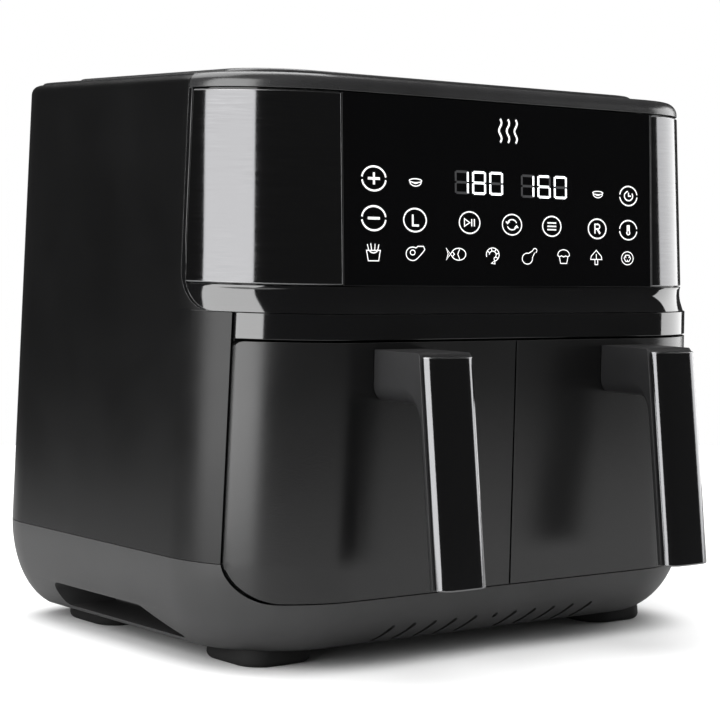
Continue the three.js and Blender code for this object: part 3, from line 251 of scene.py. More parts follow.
def skin_row(z, inset, stops, counts):
    """Points of one row: counts[k] steps between stops[k] and stops[k + 1]."""
    shape = level(z, inset)
    places = [stops[0]]
    for start, end, count in zip(stops, stops[1:], counts):
        places += spread(start, end, count)[1:]
    return [skin_point(shape, z, u) for u in places]


def skin_ring(z, inset, counts):
    """A closed ring all the way round the skin at one height."""
    half_ring = skin_row(z, inset, [0, 1, 2, 3, 4, 5], counts)
    return half_ring[:-1] + [Vector((-p.x, p.y, p.z)) for p in reversed(half_ring[1:])]


print("points in a row from the middle to the side:", len(skin_row(SEAM_Z, 0, [0, 1, 2], [4, 8])))

# %% Rounded edges
def bevel(obj, width, segments=3, angle=35, material=-1):
    mod = obj.modifiers.new("rounded edges", "BEVEL")
    mod.width = width
    mod.segments = segments
    mod.limit_method = "ANGLE"
    mod.angle_limit = math.radians(angle)
    mod.harden_normals = True
    mod.use_clamp_overlap = True
    mod.material = material
    return mod


print("helper ready: bevel")

# %% [markdown]
# Some shapes are better cut than grown: vent slots, a hand recess, a doorway. The cutters are
# closed prisms and lofts, used once by a Boolean modifier that is applied straight away and
# then thrown out, so no helper object stays in the file.

# %% Lofts and rounded outlines
def loft(name, rings):
    """A closed solid through rings of equal point counts, capped at both ends."""
    size = len(rings[0])
    verts = [p for ring in rings for p in ring]
    faces = [[k * size + j, k * size + (j + 1) % size, (k + 1) * size + (j + 1) % size, (k + 1) * size + j]
             for k in range(len(rings) - 1) for j in range(size)]
    faces.append(list(reversed(range(size))))
    faces.append([(len(rings) - 1) * size + j for j in range(size)])
    return mesh_object(name, verts, faces)


def rounded_polygon(points, radii, steps=6):
    """A 2D outline with an arc of its own radius at each corner."""
    outline = []
    count = len(points)
    for k, (point, radius) in enumerate(zip(points, radii)):
        here = Vector(point)
        before = (Vector(points[k - 1]) - here).normalized()
        after = (Vector(points[(k + 1) % count]) - here).normalized()
        half_turn = before.angle(after) / 2
        reach = radius / math.tan(half_turn)
        centre = here + (before + after).normalized() * (radius / math.sin(half_turn))
        start, end = here + before * reach - centre, here + after * reach - centre
        sweep = start.angle_signed(end)
        for t in spread(0, 1, steps):
            outline.append(centre + Matrix.Rotation(-sweep * t, 2) @ start)
    return outline


def rectangle(x0, y0, x1, y1):
    return [(x0, y0), (x1, y0), (x1, y1), (x0, y1)]


def rounded_rectangle(x0, y0, x1, y1, radius, steps):
    return rounded_polygon(rectangle(x0, y0, x1, y1), [radius] * 4, steps)


def at_height(outline, z):
    return [Vector((p.x, p.y, z)) for p in outline]


def middle_and_half(node_name):
    """The middle of a node's box, and half its size."""
    low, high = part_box(node_name)
    return (low + high) / 2, (high - low) / 2


print("points in a rounded rectangle:", len(rounded_rectangle(0, 0, 2, 1, 0.2, 6)))

# %% Prisms
def prism_back(name, outline, front, back):
    """An outline drawn in X and Z, made solid between two planes along Y."""
    rings = [[Vector((p[0], y, p[1])) for p in outline] for y in (front, back)]
    return outward(loft(name, rings))


def prism_across(name, outline, start, end):
    """An outline drawn in Y and Z, made solid between two planes along X."""
    rings = [[Vector((x, p[0], p[1])) for p in outline] for x in (start, end)]
    return outward(loft(name, rings))


def outward(obj):
    bm = bmesh.new()
    bm.from_mesh(obj.data)
    bmesh.ops.recalc_face_normals(bm, faces=bm.faces)
    bm.to_mesh(obj.data)
    bm.free()
    return obj


print("helpers ready: prism_back, prism_across")

# %% Boolean cuts
def apply_modifiers(obj):
    bpy.context.view_layer.update()
    mesh = bpy.data.meshes.new_from_object(obj.evaluated_get(bpy.context.evaluated_depsgraph_get()))
    obj.modifiers.clear()
    obj.data = mesh
    return obj


def combine(obj, other, operation):
    """Cuts, joins or keeps the common part, and removes the other object."""
    mod = obj.modifiers.new("cut", "BOOLEAN")
    mod.object = other
    mod.operation = operation
    mod.solver = "EXACT"
    apply_modifiers(obj)
    bpy.data.objects.remove(other)
    return obj


def join(name, objects):
    """One object that holds several closed bodies."""
    bm = bmesh.new()
    for obj in objects:
        bm.from_mesh(obj.data)
        bpy.data.objects.remove(obj)
    mesh = bpy.data.meshes.new(name)
    bm.to_mesh(mesh)
    bm.free()
    mesh.shade_smooth()
    joined = bpy.data.objects.new(name, mesh)
    bpy.context.scene.collection.objects.link(joined)
    return joined


def clean(obj, merge=0.02 * MM, flat_angle=0.3):
    """Removes slivers that a boolean leaves, so that the bevel has clean edges to work on."""
    bm = bmesh.new()
    bm.from_mesh(obj.data)
    bmesh.ops.remove_doubles(bm, verts=bm.verts, dist=merge)
    bmesh.ops.dissolve_limit(bm, angle_limit=math.radians(flat_angle), verts=bm.verts, edges=bm.edges)
    bmesh.ops.recalc_face_normals(bm, faces=bm.faces)
    bm.to_mesh(obj.data)
    bm.free()
    obj.data.shade_smooth()
    return obj


print("helpers ready: combine, join, clean")

# %% Turned shapes
def lathe(name, profile, origin, axis, segments=48):
    """Turns a closed profile of (radius, distance along the axis) round that axis."""
    turn = Vector((0, 0, 1)).rotation_difference(Vector(axis)).to_matrix()
    rings = []
    for k in range(segments + 1):
        angle = 2 * math.pi * (k % segments) / segments
        rings.append([Vector(origin) + turn @ Vector((r * math.cos(angle), r * math.sin(angle), d))
                      for r, d in profile + profile[:1]])
    size = len(profile) + 1
    faces = [[k * size + j, k * size + j + 1, (k + 1) * size + j + 1, (k + 1) * size + j]
             for k in range(segments) for j in range(size - 1)]
    obj = mesh_object(name, [p for ring in rings for p in ring], faces)
    bm = bmesh.new()
    bm.from_mesh(obj.data)
    bmesh.ops.remove_doubles(bm, verts=bm.verts, dist=SAME_PLACE)
    bmesh.ops.dissolve_degenerate(bm, edges=bm.edges, dist=SAME_PLACE)
    bmesh.ops.recalc_face_normals(bm, faces=bm.faces)
    bm.to_mesh(obj.data)
    bm.free()
    return obj


print("helper ready: lathe")

# %% [markdown]
# ## Effects that several finishes share
# A moulded plastic is never one flat colour: the mould leaves a fine grain, the surface is a
# little cloudier here than there, dust settles on what faces up, and edges are rubbed
# brighter. Each effect could be wired again in every material, but then they drift apart. As
# node groups with named sockets they are built once, and each finish sets its own values.

# %% Node group maker
FLOAT, VECTOR = "NodeSocketFloat", "NodeSocketVector"


def new_group(name, inputs, outputs):
    """A node group. Its outputs are plain numbers that change over the surface."""
    tree = bpy.data.node_groups.new(name, "ShaderNodeTree")
    for label, kind, value in inputs:
        socket = tree.interface.new_socket(name=label, in_out="INPUT", socket_type=kind)
        socket.default_value = value
    for label in outputs:
        tree.interface.new_socket(name=label, in_out="OUTPUT", socket_type=FLOAT)
    return tree, tree.nodes.new("NodeGroupInput"), tree.nodes.new("NodeGroupOutput")


def wire(tree, *pairs):
    for source, target in pairs:
        tree.links.new(source, target)


def node(tree, kind, **values):
    """Adds a node. A value that starts with in_ sets the input of that name or number."""
    made = tree.nodes.new(kind)
    for key, value in values.items():
        label = key.removeprefix("in_")
        if label == key:
            setattr(made, key, value)
        elif label.isdigit():
            made.inputs[int(label)].default_value = value
        else:
            made.inputs[label.replace("_", " ").title()].default_value = value
    return made


def object_texture(tree, kind, **values):
    """A texture that is laid through the object's own space, so it needs no unwrapping."""
    place = node(tree, "ShaderNodeTexCoord")
    texture = node(tree, kind, **values)
    wire(tree, (place.outputs["Object"], texture.inputs["Vector"]))
    return texture


def spread_from(tree, low, high):
    """Spreads the values between low and high over 0 to 1, or over what is wired in."""
    return node(tree, "ShaderNodeMapRange", in_from_min=low, in_from_max=high)


print("helpers ready: new_group, wire, node, object_texture, spread_from")

# %% Moulded grain: the spark-eroded texture of a plastics mould
def build_grain():
    tree, enter, leave = new_group("moulded grain", [("Size", FLOAT, 900.0)], ["Height"])
    coarse = object_texture(tree, "ShaderNodeTexNoise", in_detail=2.0)
    fine = object_texture(tree, "ShaderNodeTexVoronoi")
    finer = node(tree, "ShaderNodeMath", operation="MULTIPLY", in_1=2.3)
    mix = node(tree, "ShaderNodeMath", operation="MULTIPLY_ADD", in_1=0.5)
    wire(tree,
         (enter.outputs["Size"], coarse.inputs["Scale"]),
         (enter.outputs["Size"], finer.inputs[0]),
         (finer.outputs[0], fine.inputs["Scale"]),
         (fine.outputs["Distance"], mix.inputs[0]),
         (coarse.outputs["Fac"], mix.inputs[2]),
         (mix.outputs[0], leave.inputs["Height"]))
    return tree


GRAIN = build_grain()
print("shared effect:", GRAIN.name)

# %% Clouding: slow changes of sheen, from handling and from the mould
def build_clouding():
    tree, enter, leave = new_group(
        "clouding", [("Size", FLOAT, 14.0), ("Low", FLOAT, 0.4), ("High", FLOAT, 0.5)], ["Value", "Mask"])
    noise = object_texture(tree, "ShaderNodeTexNoise", in_detail=5.0, in_roughness=0.6, in_distortion=0.4)
    value, mask = spread_from(tree, 0.32, 0.68), spread_from(tree, 0.32, 0.68)
    wire(tree,
         (enter.outputs["Size"], noise.inputs["Scale"]),
         (noise.outputs["Fac"], value.inputs["Value"]),
         (noise.outputs["Fac"], mask.inputs["Value"]),
         (enter.outputs["Low"], value.inputs["To Min"]),
         (enter.outputs["High"], value.inputs["To Max"]),
         (value.outputs[0], leave.inputs["Value"]),
         (mask.outputs[0], leave.inputs["Mask"]))
    return tree


CLOUDING = build_clouding()
print("shared effect:", CLOUDING.name)

# %% Brushing: long fine scratches in one direction
def build_brushing():
    tree, enter, leave = new_group(
        "brushing", [("Stretch", VECTOR, (30.0, 30.0, 2500.0)), ("Low", FLOAT, 0.2), ("High", FLOAT, 0.4)],
        ["Height", "Value"])
    place = node(tree, "ShaderNodeTexCoord")
    scale = node(tree, "ShaderNodeVectorMath", operation="MULTIPLY")
    noise = node(tree, "ShaderNodeTexNoise", in_scale=1.0, in_detail=6.0, in_roughness=0.65)
    value = spread_from(tree, 0.3, 0.7)
    wire(tree,
         (place.outputs["Object"], scale.inputs[0]),
         (enter.outputs["Stretch"], scale.inputs[1]),
         (scale.outputs[0], noise.inputs["Vector"]),
         (noise.outputs["Fac"], leave.inputs["Height"]),
         (noise.outputs["Fac"], value.inputs["Value"]),
         (enter.outputs["Low"], value.inputs["To Min"]),
         (enter.outputs["High"], value.inputs["To Max"]),
         (value.outputs[0], leave.inputs["Value"]))
    return tree


BRUSHING = build_brushing()
print("shared effect:", BRUSHING.name)

# %% Edge wear: paler where an edge sticks out
def build_edge_wear():
    tree, enter, leave = new_group("edge wear", [("Start", FLOAT, 0.53), ("Amount", FLOAT, 0.5)], ["Mask"])
    shape = node(tree, "ShaderNodeNewGeometry")
    noise = object_texture(tree, "ShaderNodeTexNoise", in_scale=120.0, in_detail=3.0)
    ramp = node(tree, "ShaderNodeMapRange", in_from_max=0.62)
    broken = node(tree, "ShaderNodeMath", operation="MULTIPLY")
    amount = node(tree, "ShaderNodeMath", operation="MULTIPLY")
    wire(tree,
         (shape.outputs["Pointiness"], ramp.inputs["Value"]),
         (enter.outputs["Start"], ramp.inputs["From Min"]),
         (ramp.outputs[0], broken.inputs[0]),
         (noise.outputs["Fac"], broken.inputs[1]),
         (broken.outputs[0], amount.inputs[0]),
         (enter.outputs["Amount"], amount.inputs[1]),
         (amount.outputs[0], leave.inputs["Mask"]))
    return tree


EDGE_WEAR = build_edge_wear()
print("shared effect:", EDGE_WEAR.name)

# %% Dust: specks on what faces up
def build_dust():
    tree, enter, leave = new_group("dust", [("Amount", FLOAT, 0.1)], ["Mask"])
    shape = node(tree, "ShaderNodeNewGeometry")
    parts = node(tree, "ShaderNodeSeparateXYZ")
    noise = object_texture(tree, "ShaderNodeTexNoise", in_scale=260.0, in_detail=6.0, in_roughness=0.7)
    upward = node(tree, "ShaderNodeMapRange", in_from_min=0.5)
    specks = spread_from(tree, 0.45, 0.75)
    both = node(tree, "ShaderNodeMath", operation="MULTIPLY")
    amount = node(tree, "ShaderNodeMath", operation="MULTIPLY")
    wire(tree,
         (shape.outputs["Normal"], parts.inputs[0]),
         (parts.outputs["Z"], upward.inputs["Value"]),
         (noise.outputs["Fac"], specks.inputs["Value"]),
         (upward.outputs[0], both.inputs[0]),
         (specks.outputs[0], both.inputs[1]),
         (both.outputs[0], amount.inputs[0]),
         (enter.outputs["Amount"], amount.inputs[1]),
         (amount.outputs[0], leave.inputs["Mask"]))
    return tree


DUST = build_dust()
print("shared effect:", DUST.name)

# %% [markdown]
# ## The finishes
# The object has few finishes, and they differ mostly in sheen: matte shell, satin base and
# drawers, gloss bezel, black glass, dark brushed steel. One maker for moulded plastic, one for
# gloss and one for metal take the values that set them apart. The Principled shader stays in
# the material, and a value that is the same all over is set on its own socket.

# %% Material helpers
def start_material(name, **sockets):
    """A material, its node tree and its shader, with values set on the shader's own sockets."""
    mat = bpy.data.materials.new(name)
    mat.use_nodes = True
    tree = mat.node_tree
    shader = tree.nodes["Principled BSDF"]
    for label, value in sockets.items():
        shader.inputs[label.replace("_", " ")].default_value = value
    return mat, tree, shader


def use(tree, group, **values):
    made = tree.nodes.new("ShaderNodeGroup")
    made.node_tree = group
    for label, value in values.items():
        made.inputs[label].default_value = value
    return made


def mix_colour(tree, mask, base, over):
    """Base colour, turning to another where the mask is white. Base may be a socket."""
    made = node(tree, "ShaderNodeMix", data_type="RGBA")
    tree.links.new(mask, made.inputs["Factor"])
    if isinstance(base, bpy.types.NodeSocket):
        tree.links.new(base, made.inputs["A"])
    else:
        made.inputs["A"].default_value = (*base, 1)
    made.inputs["B"].default_value = (*over, 1)
    return made.outputs["Result"]


def times(colour, factor):
    return tuple(c * factor for c in colour)


def bump(tree, shader, height, distance):
    made = node(tree, "ShaderNodeBump", in_strength=1.0, in_distance=distance)
    wire(tree, (height, made.inputs["Height"]), (made.outputs["Normal"], shader.inputs["Normal"]))


print("helpers ready: start_material, use, mix_colour, times, bump")

# %% Moulded plastic, gloss and brushed metal
DUST_TONE, DUST_ON_GLOSS = (0.2, 0.19, 0.18), (0.2, 0.2, 0.2)


def moulded(name, colour, sheen_range, grain=900.0, specular=0.35, wear=0.35, dust=0.12):
    """A moulded plastic: cloudy sheen, fine grain, rubbed edges and a trace of dust."""
    mat, tree, shader = start_material(name, Specular_IOR_Level=specular)
    cloud = use(tree, CLOUDING, Low=sheen_range[0], High=sheen_range[1])
    rubbed = use(tree, EDGE_WEAR, Amount=wear)
    dusty = use(tree, DUST, Amount=dust)
    texture = use(tree, GRAIN, Size=grain)
    tone = mix_colour(tree, cloud.outputs["Mask"], colour, times(colour, 1.35))
    tone = mix_colour(tree, rubbed.outputs["Mask"], tone, tuple(c * 3 + 0.01 for c in colour))
    tone = mix_colour(tree, dusty.outputs["Mask"], tone, DUST_TONE)
    wire(tree, (tone, shader.inputs["Base Color"]), (cloud.outputs["Value"], shader.inputs["Roughness"]))
    bump(tree, shader, texture.outputs["Height"], 0.02 * MM)
    return mat


def polished(name, colour, sheen_range, **sockets):
    """A gloss surface: almost black, with faint smears in its sheen and its tone."""
    mat, tree, shader = start_material(name, **sockets)
    smear = use(tree, CLOUDING, Size=22.0, Low=sheen_range[0], High=sheen_range[1])
    dusty = use(tree, DUST, Amount=0.05)
    tone = mix_colour(tree, smear.outputs["Mask"], colour, times(colour, 1.3))
    tone = mix_colour(tree, dusty.outputs["Mask"], tone, DUST_ON_GLOSS)
    wire(tree, (tone, shader.inputs["Base Color"]), (smear.outputs["Value"], shader.inputs["Roughness"]))
    return mat


def brushed(name, colour, sheen_range, stretch, depth=0.004 * MM, lift=1.5):
    """A brushed metal: fine scratches in one direction carry both sheen and tone."""
    mat, tree, shader = start_material(name, Metallic=1.0)
    lines = use(tree, BRUSHING, Stretch=stretch, Low=sheen_range[0], High=sheen_range[1])
    cloud = use(tree, CLOUDING, Size=18.0, Low=0.0, High=1.0)
    tone = mix_colour(tree, lines.outputs["Height"], colour, times(colour, lift))
    tone = mix_colour(tree, cloud.outputs["Mask"], tone, tuple(c * (1 + lift) / 2 for c in colour))
    wire(tree, (tone, shader.inputs["Base Color"]), (lines.outputs["Value"], shader.inputs["Roughness"]))
    bump(tree, shader, lines.outputs["Height"], depth)
    return mat


print("makers ready: moulded, polished, brushed")

# %% The finishes of this air fryer
SHELL_BLACK = moulded("matte black shell", (0.002, 0.002, 0.0021), (0.29, 0.35), specular=0.4)
BASE_GREY = moulded("satin grey base", (0.031, 0.031, 0.0313), (0.36, 0.42), specular=0.42)
LID_GREY = moulded("satin grey lid", (0.02, 0.02, 0.0205), (0.22, 0.28), specular=0.8, dust=0.1)
DRAWER_BLACK = moulded("satin black drawer", (0.003, 0.003, 0.0031), (0.23, 0.27), specular=0.65)
# Paler than the drawer: a painted highlight for the light line along the drawer lip.
DRAWER_LIP_HIGHLIGHT = moulded("drawer lip painted highlight", (0.03, 0.03, 0.0305), (0.3, 0.36), specular=0.6)
HANDLE_GREY = moulded("satin grey handle", (0.011, 0.011, 0.0115), (0.4, 0.48), specular=0.45)
FOOT_RUBBER = moulded("black rubber", (0.008, 0.008, 0.008), (0.8, 0.9), grain=1500.0, specular=0.3, wear=0.1)
SILICONE = moulded("grey silicone", (0.03, 0.03, 0.032), (0.7, 0.8), grain=1500.0, wear=0.1)
GLOSS_BLACK = polished("gloss black bezel", (0.002, 0.002, 0.0022), (0.05, 0.09), IOR=1.9)
CONTROL_GLASS = polished("black control glass", (0.0008, 0.0008, 0.001), (0.02, 0.05))
SMOKED = polished("smoked display", (0.003, 0.003, 0.004), (0.1, 0.2))
DARK_STEEL = brushed("dark brushed steel", (0.088, 0.088, 0.09), (0.06, 0.12), (45.0, 45.0, 1100.0),
                     depth=0.002 * MM, lift=2.0)
INSERT_STEEL = brushed("dark brushed insert", (0.11, 0.11, 0.113), (0.07, 0.15), (2600.0, 2600.0, 20.0),
                       depth=0.001 * MM)
POLISHED_EDGE = brushed("polished steel edge", (0.24, 0.24, 0.243), (0.3, 0.4), [400.0] * 3, lift=1.1)
SHEET_STEEL = brushed("plain sheet steel", (0.42, 0.43, 0.44), (0.3, 0.42), (60.0, 900.0, 60.0), lift=1.2)
BRIGHT_STEEL = brushed("bright steel", (0.55, 0.56, 0.57), (0.2, 0.3), [300.0] * 3, lift=1.2)
CAST_ALLOY = brushed("cast alloy", (0.48, 0.49, 0.5), (0.35, 0.5), [500.0] * 3, depth=0.03 * MM, lift=1.2)
ELEMENT_STEEL = brushed("heat darkened tube", (0.1, 0.085, 0.075), (0.4, 0.55), [300.0] * 3, lift=1.6)
print("finishes so far:", len(bpy.data.materials))

# %% [markdown]
# Three finishes are made their own way. The non-stick coating is speckled, because mineral
# grains are sprayed in with it. The circuit board has copper tracks that show through green
# lacquer. The printed symbols glow, since the glass is lit from behind, so they carry a
# little emission.

# %% Non-stick coating, circuit board and lit print
def nonstick_coating():
    mat, tree, shader = start_material("speckled non-stick coating")
    specks = object_texture(tree, "ShaderNodeTexVoronoi", in_scale=520.0)
    dots = spread_from(tree, 0.2, 0.08)
    cloud = use(tree, CLOUDING, Size=20.0, Low=0.28, High=0.4)
    texture = use(tree, GRAIN, Size=1400.0)
    tone = mix_colour(tree, dots.outputs[0], (0.017, 0.017, 0.018), (0.07, 0.07, 0.07))
    wire(tree,
         (specks.outputs["Distance"], dots.inputs["Value"]),
         (tone, shader.inputs["Base Color"]),
         (cloud.outputs["Value"], shader.inputs["Roughness"]))
    bump(tree, shader, texture.outputs["Height"], 0.02 * MM)
    return mat


def circuit_board():
    mat, tree, shader = start_material("green circuit board")
    tracks = object_texture(tree, "ShaderNodeTexBrick", in_scale=160.0, in_mortar_size=0.03)
    cloud = use(tree, CLOUDING, Size=40.0, Low=0.35, High=0.5)
    tone = mix_colour(tree, tracks.outputs["Fac"], (0.006, 0.05, 0.018), (0.02, 0.12, 0.05))
    wire(tree, (tone, shader.inputs["Base Color"]), (cloud.outputs["Value"], shader.inputs["Roughness"]))
    return mat


def lit_print(name, colour, strength):
    mat, tree, shader = start_material(name, Emission_Strength=strength)
    cloud = use(tree, CLOUDING, Size=60.0, Low=0.4, High=0.5)
    tone = mix_colour(tree, cloud.outputs["Mask"], times(colour, 0.9), colour)
    wire(tree,
         (tone, shader.inputs["Base Color"]),
         (tone, shader.inputs["Emission Color"]),
         (cloud.outputs["Value"], shader.inputs["Roughness"]))
    return mat


NONSTICK, CIRCUIT = nonstick_coating(), circuit_board()
LIT_WHITE = lit_print("lit white symbols", (0.8, 0.8, 0.8), 0.75)
LIT_DIGIT = lit_print("lit display segments", (0.95, 0.97, 1.0), 1.2)
# The unlit segments carry a faint painted glow, so that they stay just visible.
UNLIT_DIGIT = lit_print("unlit display segments", (0.03, 0.03, 0.032), 0.5)
print("all finishes:", len(bpy.data.materials))

# %% [markdown]
# ## Putting a piece into the frame
# Each visible piece takes its finishes, rides on the body that carries it, and hides the plain
# solid that it stands for. One short function does all three, so no piece can be forgotten
# half way.

# %% Fit a piece into the frame
def fit(obj, body, slot, replaced, *materials):
    for mat in materials:
        obj.data.materials.append(mat)
    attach(obj, body)
    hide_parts(*replaced)
    print(obj.name, "faces", len(obj.data.polygons), "on", body)
    return obj


# %% [markdown]
# ## Outer shell
# The shell is one moulding: two leaning sides, the rear wall and a rolled roof edge that
# carries the lid. In front it stops where the head bezel and the drawers begin. Cutting a
# full box would leave ragged triangles round the big rounded notch under the bezel. So the
# rows of the grid start exactly on that edge instead, and nearly every face is a quad.

# %% The doorway and the rear edge of the head
OPEN_X = DRAWER_OUT + SHUT_LINE
OPEN_LEAN, HEAD_ROUND = 3.5 * MM, 22 * MM


def narrowing(z):
    """The doorway is a little narrower at the top than at the seam."""
    return OPEN_LEAN * min(max((z - SEAM_Z) / (CREASE_Z - SEAM_Z), 0), 1)


def head_edge(z, shrink=0.0):
    """Y of the bezel's rear edge at a height, with its big rounded lower corner."""
    round_top = CREASE_Z + HEAD_ROUND
    if z >= round_top:
        return HEAD_REAR - shrink
    across = round_top - z
    return HEAD_REAR - shrink - HEAD_ROUND + math.sqrt(max(HEAD_ROUND ** 2 - across ** 2, 0))


print("half doorway at the seam", round(OPEN_X, 4), "less at the crease", round(narrowing(CREASE_Z), 4))

# %% Outer shell
SHELL_WALL, SHELL_ROUND, SHELL_LIP = 2.5 * MM, 5 * MM, 6 * MM
DOOR_STEPS, HEAD_STEPS = 14, 12
BACK_STEPS = [12, 14, 8]


def shell_rows(deep):
    """Rows of the shell from the seam to the roof edge; deep gives the inner face."""
    wall = SHELL_WALL if deep else 0.0
    rows = []
    bend = u_at_y(level(CREASE_Z, wall), head_edge(CREASE_Z))
    for z in spread(SEAM_Z + GAP, CREASE_Z, 9):
        stops = [u_at_x(level(z, wall), OPEN_X - narrowing(z)), bend, 2, 3, 4, 5]
        rows.append(skin_row(z, wall, stops, [DOOR_STEPS, HEAD_STEPS] + BACK_STEPS))
    heights = [CREASE_Z + HEAD_ROUND * (1 - math.cos(t)) for t in spread(0, math.pi / 2, 10)]
    heights += spread(heights[-1], SHELL_TOP - SHELL_ROUND, 6)[1:]
    top = [(z, 0.0) for z in heights]
    top += [(SHELL_TOP - SHELL_ROUND * (1 - math.sin(t)), SHELL_ROUND * (1 - math.cos(t)))
            for t in spread(0, math.pi / 2, 6)[1:]]
    top.append((SHELL_TOP, SHELL_LIP))
    for z, inset in top:
        depth = min(inset + wall, SHELL_LIP)
        height = min(z, SHELL_TOP - wall)
        start = u_at_y(level(height, depth), head_edge(z))
        row = skin_row(height, depth, [start, 2, 3, 4, 5], [HEAD_STEPS] + BACK_STEPS)
        rows.append([row[0]] * DOOR_STEPS + row)
    return rows


def around_the_back(rows):
    """Rows that run from the right front edge, round the back, to the left front edge."""
    return [row + [Vector((-p.x, p.y, p.z)) for p in reversed(row[:-1])] for row in rows]


shell_grids = [around_the_back(shell_rows(deep)) for deep in (False, True)]
shell = slab("shell_moulding", *shell_grids, skip_flat=True)
bevel(shell, 0.5 * MM, 3)
fit(shell, "housing", "shell_black", ["outer_shell"], SHELL_BLACK)

# %% [markdown]
# ## Base tub
# The base is a lighter, satin moulding that curves in under the machine, so that it seems to
# float. Hands reach under it at both sides, and slanted vents at the front let the cooling
# air in. Here cutting is the honest way, because the real mould has inserts that do the same:
# a hull, less its hollow, less the doorway of the drawers, less recesses and vents.

# %% Base tub hull and hollow
BASE_WALL = 3 * MM
HULL_STEPS = [6, 22, 12, 14, 6]
hull_angle = math.asin((SEAM_Z - FLOOR_Z) / HULL_HEIGHT)
hull_heights = [SEAM_Z - HULL_HEIGHT * math.sin(hull_angle * t) for t in spread(1, 0, 16)]
base = loft("base_moulding", [skin_ring(z, 0, HULL_STEPS) for z in hull_heights])
hollow_heights = [FLOOR_Z + BASE_WALL]
hollow_heights += [z for z in hull_heights if z > FLOOR_Z + BASE_WALL + 1 * MM]
hollow_heights.append(SEAM_Z + 2 * MM)
hollow = loft("hollow", [skin_ring(z, BASE_WALL, HULL_STEPS) for z in hollow_heights])
hull = base.copy()
hull.data = base.data.copy()
bpy.context.scene.collection.objects.link(hull)
combine(base, hollow, "DIFFERENCE")
print("base wall faces", len(base.data.polygons))

# %% Hand recesses
# Side view of a recess in millimetres, from its front: a slope up, a flat top and a short end.
RECESS_CORNERS = [(-34, 12.2), (0, 26.5), (92, 26.5), (90, 12.2)]
RECESS_ROUNDS = [1, 10, 5, 3]
RECESS_MIDDLE = Vector((36 * MM, 19 * MM))
RECESS_DEPTH = 16.5 * MM


def recess_block(side, grow, name):
    """The room that a hand takes in one side, grown all round for the wall about it."""
    outline = rounded_polygon([(y * MM, z * MM) for y, z in RECESS_CORNERS], [r * MM for r in RECESS_ROUNDS])
    outline = [p + (p - RECESS_MIDDLE).normalized() * grow for p in outline]
    inner = HALF - SIDE_TUCK - RECESS_DEPTH - grow
    ends = (inner, HALF * 1.5) if side > 0 else (-HALF * 1.5, -inner)
    return prism_across(name, outline, *ends)


liners = join("liners", [recess_block(side, BASE_WALL * 0.8, "liner") for _, side in SIDES])
combine(liners, hull, "INTERSECT")
combine(base, liners, "UNION")
combine(base, join("recesses", [recess_block(side, 0, "recess") for _, side in SIDES]), "DIFFERENCE")
print("base faces with its recesses", len(base.data.polygons))

# %% Doorway of the drawers
FACE_CORNER, WELL_ABOVE, WELL_BEFORE = 21 * MM, 0.3, 0.05
door_low, door_corner = DRAWER_Z - SHUT_LINE, FACE_CORNER + SHUT_LINE
doorway = rounded_polygon(rectangle(-OPEN_X, door_low, OPEN_X, WELL_ABOVE),
                          [door_corner, door_corner, 1 * MM, 1 * MM], steps=14)
combine(base, prism_back("doorway", doorway, FACE_Y - WELL_BEFORE, frame_high.y), "DIFFERENCE")
print("base faces with its doorway", len(base.data.polygons))

# %% Vents
VENT_COUNT, VENT_PITCH, VENT_TILT = 11, 15 * MM, 0.6
VENT_HALF, VENT_ROUND, VENT_LONG, VENT_Z = 1.3 * MM, 1.2 * MM, 6.2 * MM, 15.2 * MM
DOT_LONG, DOT_SHIFT, DOT_Z = 1.7 * MM, 3 * MM, 19 * MM
vent_across = Vector((math.cos(VENT_TILT), -math.sin(VENT_TILT))) * VENT_HALF
vents = []
for k in range(VENT_COUNT):
    x = (k - (VENT_COUNT - 1) / 2) * VENT_PITCH
    is_dot = k == VENT_COUNT // 2
    middle = Vector((x + DOT_SHIFT, DOT_Z)) if is_dot else Vector((x, VENT_Z))
    along = Vector((math.sin(VENT_TILT), math.cos(VENT_TILT))) * (DOT_LONG if is_dot else VENT_LONG)
    corners = [middle + vent_across * a + along * b for a, b in rectangle(-1, -1, 1, 1)]
    outline = rounded_polygon(corners, [VENT_ROUND] * 4, 4)
    vents.append(prism_back("vent", outline, FACE_Y - 0.01, FACE_Y + 0.06))
combine(base, join("vents", vents), "DIFFERENCE")
clean(base)
bevel(base, 0.6 * MM, 2, angle=40)
fit(base, "housing", "base_grey", ["base_tub"], BASE_GREY)

# %% [markdown]
# ## Head bezel
# The bezel is the gloss frame of the control panel: a hollow cove underneath, a narrow border
# behind the steel, and a recessed seat for glass and steel. It is again two grids, where the
# seat is simply a part of the outer grid that lies deeper, so its step is a true edge.

# %% Head bezel
SEAT_DEPTH = GLASS_THICKNESS + GAP
BEZEL_BACK = 1.6 * MM


def bezel_rows(deep):
    bottom, seat, top = CREASE_Z + GAP, GLASS_Z - GAP, GLASS_TOP + GAP
    plan = [(bottom + (seat - bottom) * t, False) for t in spread(0, 1, 10)]
    round_top = CREASE_Z + HEAD_ROUND
    plan += [(z, True) for z in [seat] + spread(seat, round_top, 4)[1:] + spread(round_top, top, 6)[1:]]
    rows = []
    for z, seated in plan:
        edge = head_edge(z, GAP)
        border = min(edge - BORDER, head_edge(seat, GAP) - BORDER)
        depth_in = (SEAT_DEPTH if seated else 0.0) + (BEZEL_BACK if deep else 0.0)
        depth_out = BEZEL_BACK + SEAT_DEPTH if deep else 0.0
        inner_shape, outer_shape = level(z, depth_in), level(z, depth_out)
        corner_at = border if z <= round_top else edge - BORDER
        row = skin_row(z, depth_in, [0, 1, u_at_y(inner_shape, corner_at)], [6, 26])
        row += skin_row(z, depth_out, [u_at_y(outer_shape, corner_at), u_at_y(outer_shape, edge)], [5])
        rows.append(row)
    return rows


